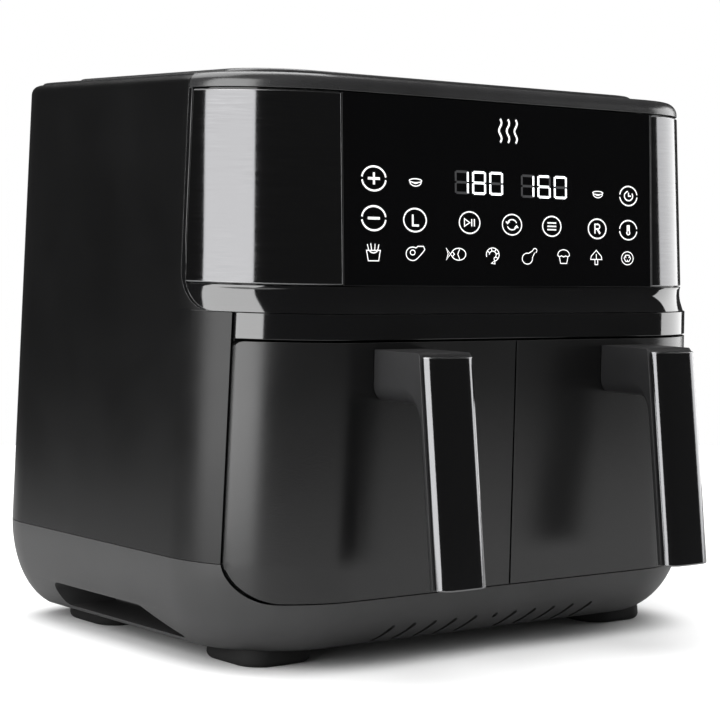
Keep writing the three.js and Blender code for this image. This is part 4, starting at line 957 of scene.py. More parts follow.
bezel = slab("bezel_moulding", *[[both_sides(row) for row in bezel_rows(deep)] for deep in (False, True)])
bright_rim = bevel(bezel, 0.7 * MM, 2, material=1)
bright_rim.limit_method = "WEIGHT"
bevel(bezel, 0.4 * MM, 2, angle=55)
fit(bezel, "housing", "gloss_black", ["head_bezel"], GLOSS_BLACK, POLISHED_EDGE)

# %% [markdown]
# ## Glass, steel panels and trim band
# All three follow the skin. Glass and steel panels are plates of one thickness, so they come
# from one function with different limits. The band has rows of its own, since it ends on the
# doorway. The steel panels wrap the front corners. Their cut edges are ground bright, and
# that bright line round dark steel is what makes the head look finished. The Bevel modifier
# can give its new faces a material of their own, which is just that ground edge.

# %% Glass and corner panels
def plate_rows(z_low, z_high, inset, start_x, end_y, steps, side):
    """Rows of a plate: side 0 runs across the front, the others round one corner."""
    rows = []
    for z in spread(z_low, z_high, 6):
        shape = level(z, inset)
        first = u_at_x(shape, start_x) if start_x else 0
        last = u_at_x(shape, GLASS_HALF) if side == 0 else u_at_y(shape, end_y)
        middle = min(max(1, first + 0.02), last - 0.02)
        rows.append(skin_row(z, inset, [first, middle, last], steps))
    return [both_sides(r) for r in rows] if side == 0 else mirrored_rows(rows, side)


def plate(name, limits, start_x, end_y, steps, side):
    grids = [plate_rows(*limits, inset, start_x, end_y, steps, side) for inset in (0.0, GLASS_THICKNESS)]
    return slab(name, *grids)


glass = plate("glass_pane", (GLASS_Z, GLASS_TOP), 0, 0, [12, 4], 0)
bevel(glass, 0.35 * MM, 3)
fit(glass, "housing", "control_glass", ["control_glass"], CONTROL_GLASS)
for hand, side in SIDES:
    panel = plate(f"{hand}_corner_panel", (GLASS_Z + GAP, GLASS_TOP - GAP),
                  GLASS_HALF + GAP, HEAD_REAR - BORDER - 2 * GAP, [2, 34], side)
    bevel(panel, 0.9 * MM, 2, material=1)
    fit(panel, "housing", "dark_steel", [f"{hand}_steel_panel"], DARK_STEEL, POLISHED_EDGE)

# %% Trim band
BAND_DEPTH = 4 * MM


def band_rows(deep):
    rows = []
    for z in spread(BAND_Z, CREASE_Z, 10):
        inset = BAND_DEPTH if deep else 0.0
        end = u_at_x(level(z, inset), DRAWER_OUT - narrowing(z))
        rows.append(both_sides(skin_row(z, inset, [0, 1, end], [4, 24])))
    return rows


band = slab("gloss_band", band_rows(False), band_rows(True))
bevel(band, 0.3 * MM, 3)
fit(band, "housing", "gloss_black", ["trim_band"], GLOSS_BLACK)

# %% [markdown]
# ## Lid
# The lid drops into the shell's roof edge. Its front rolls over the glass as a rounded rim,
# and a low raised pad fills the middle. Three closed bodies that overlap are enough: plate,
# rim and pad are one moulding and share one finish, and the joints fall inside the plastic.

# %% Lid
RIM_ROUND, RIM_WALL, RIM_REACH, PAD_INSET = 7 * MM, 3 * MM, 14 * MM, 27 * MM
ROOF_STEPS = [6, 20, 8, 12, 6]


def dome(name, low, top, inset, round_off):
    """A plate whose upper edge is rolled over with a given radius."""
    rings = [skin_ring(low, inset, ROOF_STEPS)]
    for t in spread(0, math.pi / 2, 8):
        z, further = top - round_off * (1 - math.sin(t)), inset + round_off * (1 - math.cos(t))
        rings.append(skin_ring(z, further, ROOF_STEPS))
    return loft(name, rings)


def rim_rows(deep):
    profile = [(GLASS_TOP + 2 * GAP, 0.0)]
    profile += [(LID_TOP - RIM_ROUND * (1 - math.sin(t)), RIM_ROUND * (1 - math.cos(t)))
                for t in spread(0, math.pi / 2, 10)]
    profile.append((LID_TOP, RIM_REACH))
    rows = []
    for z, inset in profile:
        depth = max(inset, RIM_WALL * 1.5) if deep else inset
        height = min(z, LID_TOP - RIM_WALL) if deep else z
        end = u_at_y(level(height, depth), HEAD_REAR - GAP)
        rows.append(both_sides(skin_row(height, depth, [0, 1, end], [6, 26])))
    return rows


rim = slab("rim", rim_rows(False), rim_rows(True))
roof = dome("roof", SHELL_TOP - SHELL_WALL, LID_TOP - 0.05 * MM, SHELL_LIP + GAP, 1.3 * MM)
pad = dome("pad", LID_TOP - 1 * MM, HEIGHT, PAD_INSET, 3.2 * MM)
lid = join("lid_moulding", [rim, roof, pad])
bevel(lid, 0.35 * MM, 2, angle=50)
fit(lid, "housing", "lid_grey", ["lid"], LID_GREY)

# %% [markdown]
# ## Drawer faces
# Each face wraps the outer corner and has one big rounded lower corner. The face could be cut
# from the skin, but the rounded corner is easier as rows that end on the arc: the rows lie
# close together where the arc is flat, so its curve stays smooth. The faces of the bevel have
# a slightly paler colour, which is a painted highlight: the light line along the lip.

# %% Drawer faces
FACE_WALL, TOP_CORNER = 4 * MM, 3 * MM


def drawer_rows(inset):
    heights = [DRAWER_Z + FACE_CORNER * (1 - math.cos(t)) for t in spread(0, math.pi / 2, 14)]
    heights += spread(heights[-1], DRAWER_TOP - TOP_CORNER, 8)[1:]
    heights += [DRAWER_TOP - TOP_CORNER * (1 - math.sin(t)) for t in spread(0, math.pi / 2, 6)[1:]]
    rows = []
    for z in heights:
        across = max(DRAWER_Z + FACE_CORNER - z, 0)
        above = max(z - DRAWER_TOP + TOP_CORNER, 0)
        end_x = DRAWER_OUT - FACE_CORNER + math.sqrt(max(FACE_CORNER ** 2 - across ** 2, 0)) - narrowing(z)
        end_x -= TOP_CORNER - math.sqrt(max(TOP_CORNER ** 2 - above ** 2, 0))
        shape = level(max(z, SEAM_Z), inset)
        places = spread(u_at_x(shape, DRAWER_IN), 1, 6) + spread(1, u_at_x(shape, end_x), 24)[1:]
        rows.append([skin_point(shape, z, u) for u in places])
    return rows


for hand, side in SIDES:
    grids = [mirrored_rows(drawer_rows(inset), side) for inset in (0.0, FACE_WALL)]
    face = slab(f"{hand}_drawer_face", *grids)
    # The bevel faces take the paler lip colour, a painted highlight along the lip.
    bevel(face, 0.9 * MM, 4, material=1)
    fit(face, f"{hand}_drawer", "drawer_black", [f"{hand}_drawer_front"], DRAWER_BLACK, DRAWER_LIP_HIGHLIGHT)

# %% [markdown]
# ## Handles
# Arm and grip are one moulding, drawn as a side profile and made solid across its width. The
# edges that fingers touch, under the arm and behind the grip, are rounded far more than the
# upper ones. A bevel would give them all one radius, so here each point of the side view
# knows how far it moves in towards the ends of the moulding.

# %% Measures of the handle
handle_low, handle_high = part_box("right_handle")
HANDLE_X = (handle_low.x + handle_high.x) / 2
ARM_HEIGHT, ARM_STEP, ARM_CORNER = 27 * MM, 1.5 * MM, 9 * MM
GRIP_BACK, END_Y = 5 * MM, handle_low.y
GRIP_BOTTOM, GRIP_TOP = handle_low.z, DRAWER_TOP - 5 * MM
GRIP_LEAN = math.atan2(15.5 * MM, GRIP_TOP - GRIP_BOTTOM)
UNDER_ROUND, BACK_ROUND, END_ROUND = 9 * MM, 3.6 * MM, 7 * MM


def grip_front(z):
    return END_Y + (z - GRIP_BOTTOM) * math.tan(GRIP_LEAN)


def grip_back(z):
    return grip_front(z) + GRIP_BACK


print("grip leans by", round(math.degrees(GRIP_LEAN), 2), "degrees")

# %% Handle moulding
def handle_profile():
    """Side view in Y and Z. Each point carries the way it moves in where an edge is round."""
    arm_low, arm_high = handle_high.z - ARM_HEIGHT, handle_high.z
    wall = FACE_Y - GAP
    bend = [(grip_back(arm_low) + ARM_CORNER, arm_low), (grip_back(arm_low), arm_low),
            (grip_back(arm_low - ARM_CORNER), arm_low - ARM_CORNER)]
    points = [((grip_front(GRIP_TOP), GRIP_TOP), (0, 0)),
              ((grip_front(GRIP_TOP) + ARM_STEP, arm_high), (0, 0)),
              ((wall, arm_high), (0, 0)),
              ((wall, arm_low), (0, UNDER_ROUND))]
    for t in spread(0, 1, 10):
        place = tuple((1 - t) ** 2 * p + 2 * t * (1 - t) * q + t * t * r for p, q, r in zip(*bend))
        points.append((place, (-BACK_ROUND * t, UNDER_ROUND * (1 - t))))
    points.append(((grip_back(GRIP_BOTTOM), GRIP_BOTTOM), (-BACK_ROUND, 0)))
    points.append(((END_Y, GRIP_BOTTOM), (0, 0)))
    return points


def handle(hand, side):
    half = (handle_high.x - handle_low.x) / 2
    rings = []
    turns = spread(0, math.pi / 2, 6)
    for end, order in ((-1, turns), (1, turns[::-1])):
        for t in order:
            x = HANDLE_X * side + end * (half - END_ROUND * (1 - math.cos(t)))
            amount = 1 - math.sin(t)
            rings.append([Vector((x, y + dy * amount, z + dz * amount))
                          for (y, z), (dy, dz) in handle_profile()])
    obj = outward(loft(f"{hand}_handle_moulding", rings))
    bevel(obj, 0.8 * MM, 3, angle=50)
    fit(obj, f"{hand}_drawer", "handle_grey", [f"{hand}_handle"], HANDLE_GREY)


for hand, side in SIDES:
    handle(hand, side)

# %% [markdown]
# ## Handle inserts
# A folded steel strip is clipped over the front of each grip: a nearly flat face, two broad
# chamfers that catch the side lights as vertical stripes, and ground bright edges. The
# section is drawn in plan and swept up the leaning grip.

# %% Handle inserts
INSERT_HALF, INSERT_DEPTH = 16.4 * MM, 6.5 * MM
# Half of the section in plan: in from the edge, and forward from the back.
INSERT_STEPS = ((0.0, 0.0), (0.0, 1.6), (2.8, 5.1), (6.2, 6.2))


def insert_section():
    """Plan outline: across, and how far in front of the insert's back."""
    left = [(-INSERT_HALF + step * MM, out * MM) for step, out in INSERT_STEPS]
    flat, shoulder = -left[-1][0], left[-1][1]
    crown = [(flat * t, shoulder + (INSERT_DEPTH - shoulder) * (1 - t * t)) for t in spread(-1, 1, 8)[1:-1]]
    return left + crown + [(-across, out) for across, out in reversed(left)]


def insert(hand, side):
    rings = []
    for z in spread(GRIP_BOTTOM - 0.4 * MM, GRIP_TOP, 12):
        back = grip_front(z) - GAP
        rings.append([Vector((HANDLE_X * side + across, back - out / math.cos(GRIP_LEAN), z))
                      for across, out in insert_section()])
    obj = outward(loft(f"{hand}_insert_strip", rings))
    bevel(obj, 0.9 * MM, 2, angle=50, material=1)
    fit(obj, f"{hand}_drawer", "dark_steel", [f"{hand}_handle_insert"], INSERT_STEEL, POLISHED_EDGE)


for hand, side in SIDES:
    insert(hand, side)

# %% [markdown]
# ## Feet
# Four soft rubber feet carry the machine. Each is a rounded pad with a softened sole edge,
# lofted through a few outlines, which gives rubber its swollen look without a simulation.

# %% Feet
FOOT_ROUND = 13 * MM
# Height above the floor and how far the outline is drawn in there.
FOOT_LEVELS = ((0.0, 2.2), (0.5, 1.0), (1.6, 0.3), (3.0, 0.0), (8.5, 0.4), (9.9, 1.0))


def foot(node_name):
    middle, half = middle_and_half(node_name)
    rings = []
    for z, shrink in FOOT_LEVELS:
        x, y = half.x - shrink * MM, half.y - shrink * MM
        outline = rounded_rectangle(-x, -y, x, y, FOOT_ROUND, 8)
        rings.append([Vector((middle.x + p.x, middle.y + p.y, z * MM)) for p in outline])
    obj = outward(loft(node_name + "_pad", rings))
    bevel(obj, 0.4 * MM, 2, angle=30)
    fit(obj, "housing", "foot_rubber", [node_name], FOOT_RUBBER)


for hand, _ in SIDES:
    for end in ("front", "rear"):
        foot(f"{hand}_{end}_foot")

# %% [markdown]
# ## Baskets
# Each basket is pressed from one sheet: a flat floor, a rounded heel, walls with a slight
# draft so that pressings leave the die, and a straight rim. The wall is two grids again. The
# outline is a rounded rectangle whose outer front corner is rounder, to clear the curved
# drawer face.

# %% Basket outline
basket_low, basket_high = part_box("right_basket")
BASKET_WALL, BASKET_DRAFT, HEEL = 1.6 * MM, 5 * MM, 6 * MM
BASKET_CORNER, OUTER_CORNER, LEAST_CORNER = 30 * MM, 33 * MM, 2 * MM


def basket_outline(z, shrink, side):
    """Closed outline of a basket at a height, as points in the plane."""
    down = (basket_high.z - z) / (basket_high.z - basket_low.z)
    inset = BASKET_DRAFT * down + shrink
    small = max(BASKET_CORNER - shrink, LEAST_CORNER)
    large = max(OUTER_CORNER - shrink, LEAST_CORNER)
    x0, x1 = basket_low.x + inset, basket_high.x - inset
    y0, y1 = basket_low.y + inset, basket_high.y - inset
    outline = rounded_polygon(rectangle(x0, y0, x1, y1), [small, large, small, small], 10)
    if side < 0:
        outline = [Vector((-p.x, p.y)) for p in reversed(outline)]
    return outline


print("points round a basket:", len(basket_outline(basket_high.z, 0, 1)))

# %% Baskets
# How far in from the wall each ring of the flat floor lies, in millimetres.
FLOOR_RINGS = (64, 40, 20, 12)


def basket_rows(side, deep):
    wall = BASKET_WALL if deep else 0.0
    floor_z = basket_low.z + wall
    profile = [(floor_z, shrink * MM) for shrink in FLOOR_RINGS]
    profile += [(floor_z + HEEL * (1 - math.cos(t)), HEEL * (1 - math.sin(t)) * 0.9)
                for t in spread(0, math.pi / 2, 6)]
    profile += [(z, 0.0) for z in spread(floor_z + HEEL, basket_high.z - 1.2 * MM, 6)[1:]]
    profile.append((basket_high.z, 0.0))
    rows = []
    for z, shrink in profile:
        ring = at_height(basket_outline(z, shrink + wall, side), z)
        rows.append(ring + ring[:1])
    middle = sum(rows[0][:-1], Vector()) / (len(rows[0]) - 1)
    return [[middle] * len(rows[0])] + rows


for hand, side in SIDES:
    basket = outward(slab(f"{hand}_basket_pressing", basket_rows(side, False), basket_rows(side, True)))
    bevel(basket, 0.7 * MM, 3, angle=50)
    fit(basket, f"{hand}_drawer", "nonstick", [f"{hand}_basket"], NONSTICK)

# %% [markdown]
# ## Crisper plates and their bumpers
# The plate lets hot air pass under the food, so it is full of slots with round ends. The
# slots sit on a staggered grid and are cut in one go. Two soft silicone bumpers grip the
# edges and keep the coating from being scratched.

# %% Crisper plates
plate_low, plate_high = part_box("right_crisper_plate")
plate_middle = (plate_low + plate_high) / 2
SLOT_LENGTH, SLOT_WIDTH = 22 * MM, 5 * MM
SLOT_ACROSS, SLOT_ALONG, SLOT_ROWS = 30 * MM, 11 * MM, 8
PLATE_INSET, PLATE_EDGE, PLATE_EDGE_INSET = 3.9 * MM, 0.5 * MM, 4.3 * MM


def crisper_slot(x, y):
    a, b = SLOT_LENGTH / 2, SLOT_WIDTH / 2
    outline = rounded_rectangle(x - a, y - b, x + a, y + b, b * 0.98, 5)
    return loft("slot", [at_height(outline, z) for z in (plate_low.z - 0.01, plate_high.z + 0.01)])


def crisper_plate(hand, side):
    levels = ((plate_low.z, PLATE_EDGE_INSET), (plate_low.z + PLATE_EDGE, PLATE_INSET),
              (plate_high.z - PLATE_EDGE, PLATE_INSET), (plate_high.z, PLATE_EDGE_INSET))
    rings = [at_height(basket_outline(plate_low.z, inset, side), z) for z, inset in levels]
    obj = outward(loft(f"{hand}_crisper_pressing", rings))
    cutters = []
    for row in range(-SLOT_ROWS, SLOT_ROWS + 1):
        shift, columns = (SLOT_ACROSS / 2, range(-1, 3)) if row % 2 else (0.0, range(-1, 2))
        for column in columns:
            x = (plate_middle.x + column * SLOT_ACROSS - shift) * side
            cutters.append(crisper_slot(x, plate_middle.y + row * SLOT_ALONG))
    combine(obj, join("slots", cutters), "DIFFERENCE")
    clean(obj)
    bevel(obj, 0.25 * MM, 2, angle=50)
    fit(obj, f"{hand}_crisper", "nonstick", [f"{hand}_crisper_plate"], NONSTICK)


print("slots in a row of a crisper plate: 3 or 4, rows:", 2 * SLOT_ROWS + 1)

# %% Bumpers, and both kinds of piece on each side
BUMPER_ROUND = 3 * MM


def bumper(node_name, body):
    low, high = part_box(node_name)
    middle, half = middle_and_half(node_name)
    outline = rounded_rectangle(-half.x, -half.z, half.x, half.z, BUMPER_ROUND, 6)
    rings = []
    for y, shrink in ((low.y, 0.8), (low.y + 0.9 * MM, 0.1), (high.y - 0.9 * MM, 0.1), (high.y, 0.8)):
        by_x, by_z = 1 - shrink * MM / half.x, 1 - shrink * MM / half.z
        rings.append([Vector((middle.x + p.x * by_x, y, middle.z + p.y * by_z)) for p in outline])
    obj = outward(loft(node_name + "_clip", rings))
    bevel(obj, 0.3 * MM, 2, angle=30)
    fit(obj, body, "silicone", [node_name], SILICONE)


for hand, side in SIDES:
    crisper_plate(hand, side)
    for end in ("front", "rear"):
        bumper(f"{hand}_{end}_bumper", f"{hand}_crisper")

# %% [markdown]
# ## Rear of the machine
# Hot air leaves through a louvred grille. Two spacers keep it off the wall, and a gland holds
# the mains cord where it enters. Louvres slope down and outwards so that nothing falls in.
# They are thin bars in a frame, because real louvres are ribs of the same moulding.

# %% Rear grille
grille_low, grille_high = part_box("rear_grille")
LOUVRES, LOUVRE_TILT, GRILLE_BORDER = 10, math.radians(-38), 8 * MM
LOUVRE_DEPTH, LOUVRE_THICK, RIB_HALF = 2.6 * MM, 0.9 * MM, 2 * MM


def louvre(x0, x1, y, z):
    """A thin bar across, tilted about its own length."""
    turn = Matrix.Rotation(LOUVRE_TILT, 2)
    a, b = LOUVRE_DEPTH, LOUVRE_THICK
    section = rounded_rectangle(-a, -b, a, b, b * 0.9, 3)
    return prism_across("louvre", [turn @ p + Vector((y, z)) for p in section], x0, x1)


def grille():
    x, out = grille_high.x, grille_high.y
    z0, z1 = grille_low.z, grille_high.z
    b, overlap = GRILLE_BORDER, GRILLE_BORDER * 0.8
    outer = rounded_rectangle(-x, z0, x, z1, 9 * MM, 8)
    inner = rounded_rectangle(-x + b, z0 + b, x - b, z1 - b, 4 * MM, 8)
    border = prism_back("border", outer, out - 4.6 * MM, out)
    combine(border, prism_back("window", inner, out - 0.02, out + 0.02), "DIFFERENCE")
    heights = spread(z0 + b + 2.5 * MM, z1 - b - 2.5 * MM, LOUVRES)
    louvres = [louvre(-x + overlap, x - overlap, out - LOUVRE_DEPTH, z) for z in heights]
    rib_outline = rectangle(-RIB_HALF, z0 + overlap, RIB_HALF, z1 - overlap)
    rib = prism_back("rib", rib_outline, out - 4.4 * MM, out - 0.6 * MM)
    obj = join("rear_louvres", [border, rib] + louvres)
    bevel(obj, 0.5 * MM, 2, angle=40)
    fit(obj, "housing", "shell_black", ["rear_grille"], SHELL_BLACK)


grille()

# %% Wall spacers
SPACER_ROUND, SPACER_DRAW_IN = 4 * MM, 1.5 * MM


def spacer(node_name):
    middle, half = middle_and_half(node_name)
    wall = level(middle.z)[2]
    end_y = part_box(node_name)[1].y
    rings = []
    for y, flare in ((wall - 1 * MM, 1.5), (wall + 1 * MM, 0.8), (wall + 3 * MM, 0.0), (end_y, 0.0)):
        a, b = half.x + flare * MM - SPACER_DRAW_IN, half.z + flare * MM - SPACER_DRAW_IN
        outline = rounded_rectangle(-a, -b, a, b, SPACER_ROUND, 6)
        rings.append([Vector((middle.x + p.x, y, middle.z + p.y)) for p in outline])
    obj = outward(loft(node_name + "_boss", rings))
    bevel(obj, 0.8 * MM, 3, angle=40)
    fit(obj, "housing", "shell_black", [node_name], SHELL_BLACK)


for hand, _ in SIDES:
    spacer(f"{hand}_wall_spacer")

# %% Cord gland
gland_low, gland_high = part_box("cord_gland")
gland_middle = (gland_low + gland_high) / 2
LONG = (gland_high.y - gland_low.y) / MM
# Radius and distance along the gland, in millimetres: a sleeve with a collar at its end.
GLAND_PROFILE = [(3.6, 0), (8, 0), (8, LONG - 3), (11, LONG - 3), (11, LONG - 1), (9.6, LONG), (5, LONG),
                 (3.6, LONG - 1.4)]
gland = lathe("cord_gland_bush", [(r * MM, d * MM) for r, d in GLAND_PROFILE],
              (gland_middle.x, gland_low.y, gland_middle.z), (0, 1, 0))
bevel(gland, 0.4 * MM, 2)
fit(gland, "housing", "foot_rubber", ["cord_gland"], FOOT_RUBBER)

# %% [markdown]
# ## Handle screws
# Two pan-head screws hold each handle. They show only from behind, when a drawer is out. Each
# is a turned profile, and a cross recess is cut in its head.

# %% Handle screws
HEAD_HEIGHT, SHANK, HEAD_RADIUS = 2.1 * MM, 1.9 * MM, 3.6 * MM
CROSS_LONG, CROSS_THICK, CROSS_DEPTH = 2 * MM, 0.4 * MM, 1 * MM


def screw(node_name, body):
    low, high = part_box(node_name)
    x, z, long = (low.x + high.x) / 2, (low.z + high.z) / 2, high.y - low.y
    profile = [(0, 0), (SHANK, 0), (SHANK, long - HEAD_HEIGHT), (HEAD_RADIUS, long - HEAD_HEIGHT),
               (3.5 * MM, long - HEAD_HEIGHT * 0.4), (2.6 * MM, long), (0, long)]
    obj = lathe(node_name + "_turned", profile, (x, low.y, z), (0, 1, 0), 32)
    for a, b in ((CROSS_LONG, CROSS_THICK), (CROSS_THICK, CROSS_LONG)):
        arm = rectangle(x - a, z - b, x + a, z + b)
        combine(obj, prism_back("arm", arm, high.y - CROSS_DEPTH, high.y + CROSS_DEPTH), "DIFFERENCE")
    bevel(obj, 0.15 * MM, 2, angle=40)
    fit(obj, body, "bright_steel", [node_name], BRIGHT_STEEL)


for hand, _ in SIDES:
    for place in ("upper", "lower"):
        screw(f"{hand}_{place}_screw", f"{hand}_drawer")

# %% [markdown]
# ## Pieces that keep their engineering shape
# Behind the drawers sit sheet-metal cavities, fans, motors and boards. Their solids are right
# as they are, so only their finish changes: the material goes into the slots of the node.

# %% Finishes for the carried-over nodes
INSIDE_FINISHES = {
    "front_frame": SHELL_BLACK, "touch_board": CIRCUIT, "power_board": CIRCUIT,
    "display": SMOKED, "cavity": SHEET_STEEL, "heating_element": ELEMENT_STEEL, "heater_guard": BRIGHT_STEEL,
    "temperature_sensor": BRIGHT_STEEL, "motor_bracket": SHEET_STEEL, "fan_motor": CAST_ALLOY,
    "motor_shaft": BRIGHT_STEEL, "convection_fan": CAST_ALLOY, "cooling_fan": CAST_ALLOY,
    "drawer_carrier": SHEET_STEEL,
}
kept = 0
for name, obj in NODES.items():
    kind = name.removeprefix("left_").removeprefix("right_")
    if kind in INSIDE_FINISHES:
        for slot in obj.material_slots:
            slot.material = INSIDE_FINISHES[kind]
        kept += 1
print("carried-over nodes with a new finish:", kept)

# %% [markdown]
# ## Symbols on the glass
# Touch keys and cooking programs are printed behind the glass and lit white. Text objects and
# images could do it, but simple strokes are sharper and generic: each symbol is a few lines
# and arcs, drawn in millimetres, and each stroke becomes a thin closed bar on the glass.

# %% A drawing plane on the glass
glass_up = Vector((0, GLASS_LEAN, GLASS_TOP - GLASS_Z)).normalized()
glass_out = Vector((0, -glass_up.z, glass_up.y))
glass_origin = Vector((0, FACE_Y + GLASS_SETBACK, GLASS_Z))
PRINT_DEPTH = 0.05 * MM


print("glass leans by", round(math.degrees(math.atan2(glass_up.y, glass_up.z)), 2), "degrees")

# %% Strokes on the glass
def on_glass(x, up, out=0.0):
    return glass_origin + Vector((x * MM, 0, 0)) + glass_up * (up * MM) + glass_out * out


def stroke(bm, points, width, closed=False):
    """A flat bar of even width along a path on the glass."""
    count = len(points)
    rails = []
    for k, point in enumerate(points):
        here = Vector(point)
        before = Vector(points[k - 1]) if closed or k else None
        after = Vector(points[(k + 1) % count]) if closed or k < count - 1 else None
        ways = [(here - before).normalized()] if before is not None else []
        ways += [(after - here).normalized()] if after is not None else []
        way = sum(ways, Vector((0, 0))).normalized()
        side = Vector((-way.y, way.x))
        stretch = 1 / max(abs(side.dot(Vector((-ways[0].y, ways[0].x)))), 0.6)
        rails.append([here + side * (width / 2 * stretch), here - side * (width / 2 * stretch)])
    rings = [[bm.verts.new(on_glass(p.x, p.y, out)) for p, out in
              ((a, 0.0), (a, PRINT_DEPTH), (b, PRINT_DEPTH), (b, 0.0))] for a, b in rails]
    spans = range(count if closed else count - 1)
    for k in spans:
        here, after = rings[k], rings[(k + 1) % count]
        for j in range(4):
            bm.faces.new([here[j], here[(j + 1) % 4], after[(j + 1) % 4], after[j]])
    if not closed:
        bm.faces.new(rings[0][::-1])
        bm.faces.new(rings[-1])


def arc(x, y, rx, start, end, ry=None, steps=None):
    """Points of an arc, in degrees anticlockwise from the right."""
    ry = rx if ry is None else ry
    steps = steps or max(4, round(abs(end - start) / 12))
    turns = [math.radians(a) for a in spread(start, end, steps)]
    return [(x + rx * math.cos(turn), y + ry * math.sin(turn)) for turn in turns]


def print_object(name, strokes, material):
    bm = bmesh.new()
    for points, width, closed in strokes:
        stroke(bm, points, width, closed)
    bmesh.ops.recalc_face_normals(bm, faces=bm.faces)
    mesh = bpy.data.meshes.new(name)
    bm.to_mesh(mesh)
    bm.free()
    obj = bpy.data.objects.new(name, mesh)
    bpy.context.scene.collection.objects.link(obj)
    mesh.materials.append(material)
    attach(obj, "housing")
    print(name, "strokes", len(strokes))
    return obj


print("points in a quarter arc:", len(arc(0, 0, 1, 0, 90)))

# %% Symbols of the keys, each in a box from -1 to 1
def line(*points):
    """An open stroke, through points given one by one."""
    return list(points), False


def open_arc(*place, **shape):
    return arc(*place, **shape), False


def loop(points):
    return points, True


def circle(r=1.0):
    return [loop(arc(0, 0, r, 0, 348, steps=29))]


def ray(angle, inner, outer, up=0.0):
    """A short stroke that points away from a middle."""
    return line(*[(r * math.cos(angle), up + r * math.sin(angle)) for r in (inner, outer)])


BROKEN_CIRCLE = [open_arc(0, 0, 1.0, 7, 173), open_arc(0, 0, 1.0, 187, 353)]
SYMBOLS = {
    "more": BROKEN_CIRCLE + [line((-0.5, 0), (0.5, 0)), line((0, -0.5), (0, 0.5))],
    "less": BROKEN_CIRCLE + [line((-0.5, 0), (0.5, 0))],
    "timer": BROKEN_CIRCLE + [open_arc(0.02, 0, 0.48, 100, 395), line((0.02, 0.35), (0.02, 0), (0.3, 0))],
    "thermometer": BROKEN_CIRCLE + [
        open_arc(0, -0.3, 0.17, 120, 420),
        line((-0.09, -0.1), (-0.09, 0.42), (0.09, 0.42), (0.09, -0.1))],
    "left drawer": circle() + [line((-0.2, 0.48), (-0.2, -0.46), (0.34, -0.46))],
    "right drawer": circle() + [
        line((-0.25, -0.5), (-0.25, 0.46), (0.05, 0.46), *arc(0.05, 0.22, 0.24, 90, -90), (-0.25, -0.02)),
        line((0.02, -0.02), (0.32, -0.5))],
    "start": circle() + [
        loop([(-0.5, -0.34), (-0.5, 0.34), (0.02, 0)]),
        line((0.2, -0.34), (0.2, 0.34)), line((0.46, -0.34), (0.46, 0.34))],
    "match": circle() + [
        open_arc(0, 0, 0.5, 20, 160), open_arc(0, 0, 0.5, 200, 340),
        line((-0.64, 0.3), (-0.47, 0.1), (-0.26, 0.3)), line((0.64, -0.3), (0.47, -0.1), (0.26, -0.3))],
    "menu": circle() + [line((-0.48, y), (0.48, y)) for y in (0.34, 0, -0.34)],
}
print("key symbols:", sorted(SYMBOLS))

# %% Symbols of the food, drawn the same way
SYMBOLS |= {
    "bowl": [
        loop(arc(0, 0.1, 1.0, 0, 348, ry=0.3, steps=24)),
        open_arc(0, 0.0, 0.95, 190, 350, ry=0.75), open_arc(0, 0.0, 0.5, 200, 340, ry=0.32)],
    "fries": [
        loop([(-0.8, 0.2), (-0.6, -1.0), (0.6, -1.0), (0.8, 0.2)]), open_arc(0, 0.45, 0.55, 205, 335),
        line((-0.55, 0.25), (-0.7, 0.9)), line((-0.2, 0.1), (-0.3, 1.0)),
        line((0.15, 0.1), (0.2, 0.95)), line((0.5, 0.25), (0.65, 0.9))],
    "steak": [
        loop(arc(-0.3, -0.1, 0.75, 60, 300) +
             [(0.35, -0.5), (0.85, 0.05), (1.1, 0.4), (0.95, 0.75), (0.3, 0.75)]),
        loop(arc(-0.3, 0.05, 0.28, 0, 330, steps=12))],
    "fish": [
        loop(arc(0.35, 0, 0.75, -150, 150, ry=0.6) + [(-0.95, -0.6), (-0.75, 0), (-0.95, 0.6)]),
        line((0.45, 0.5), (0.25, 0), (0.45, -0.5)), line((-0.3, 0.25), (-0.1, 0), (-0.3, -0.25))],
    "prawn": [
        open_arc(0, 0.1, 0.85, -80, 200), open_arc(0, 0.1, 0.45, -70, 180),
        line((0.12, -0.75), (-0.2, -1.0), (0.3, -1.05), (0.15, -0.35)),
        *[ray(angle, 0.45, 0.85, up=0.1) for angle in (-0.6, 0.2, 1.0, 1.8, 2.6)]],
    "drumstick": [
        open_arc(-0.3, -0.3, 0.68, 75, 375), line((-0.12, 0.36), (0.45, 0.72)),
        line((0.36, -0.2), (0.68, 0.45)), open_arc(0.72, 0.72, 0.26, -70, 170)],
    "muffin": [
        loop(arc(0, 0.25, 0.85, -10, 190, ry=0.7) +
             [(-0.6, 0.0), (-0.3, 0.12), (0, -0.02), (0.3, 0.12), (0.6, 0.0)]),
        line((-0.62, -0.05), (-0.45, -0.9), (0.45, -0.9), (0.62, -0.05))],
    "mushroom": [
        loop([(-0.85, -0.25), (-0.75, 0.2), (0, 1.0), (0.75, 0.2), (0.85, -0.25)]),
        line((-0.22, -0.25), (-0.2, -0.95), (0.2, -0.95), (0.22, -0.25)), line((0, 0.5), (0, -0.2))],
    "flatbread": circle(0.9) + [
        loop(arc(0, 0, 0.5, 0, 300, steps=5)), *[ray(angle, 0.2, 0.5) for angle in (0.5, 2.6, 4.7)]],
    "warm air": [
        line(*[(x + 0.12 * math.sin(k * math.pi / 4), -1 + k / 6) for k in range(13)])
        for x in (-0.7, 0, 0.7)],
}
print("all symbols:", len(SYMBOLS))

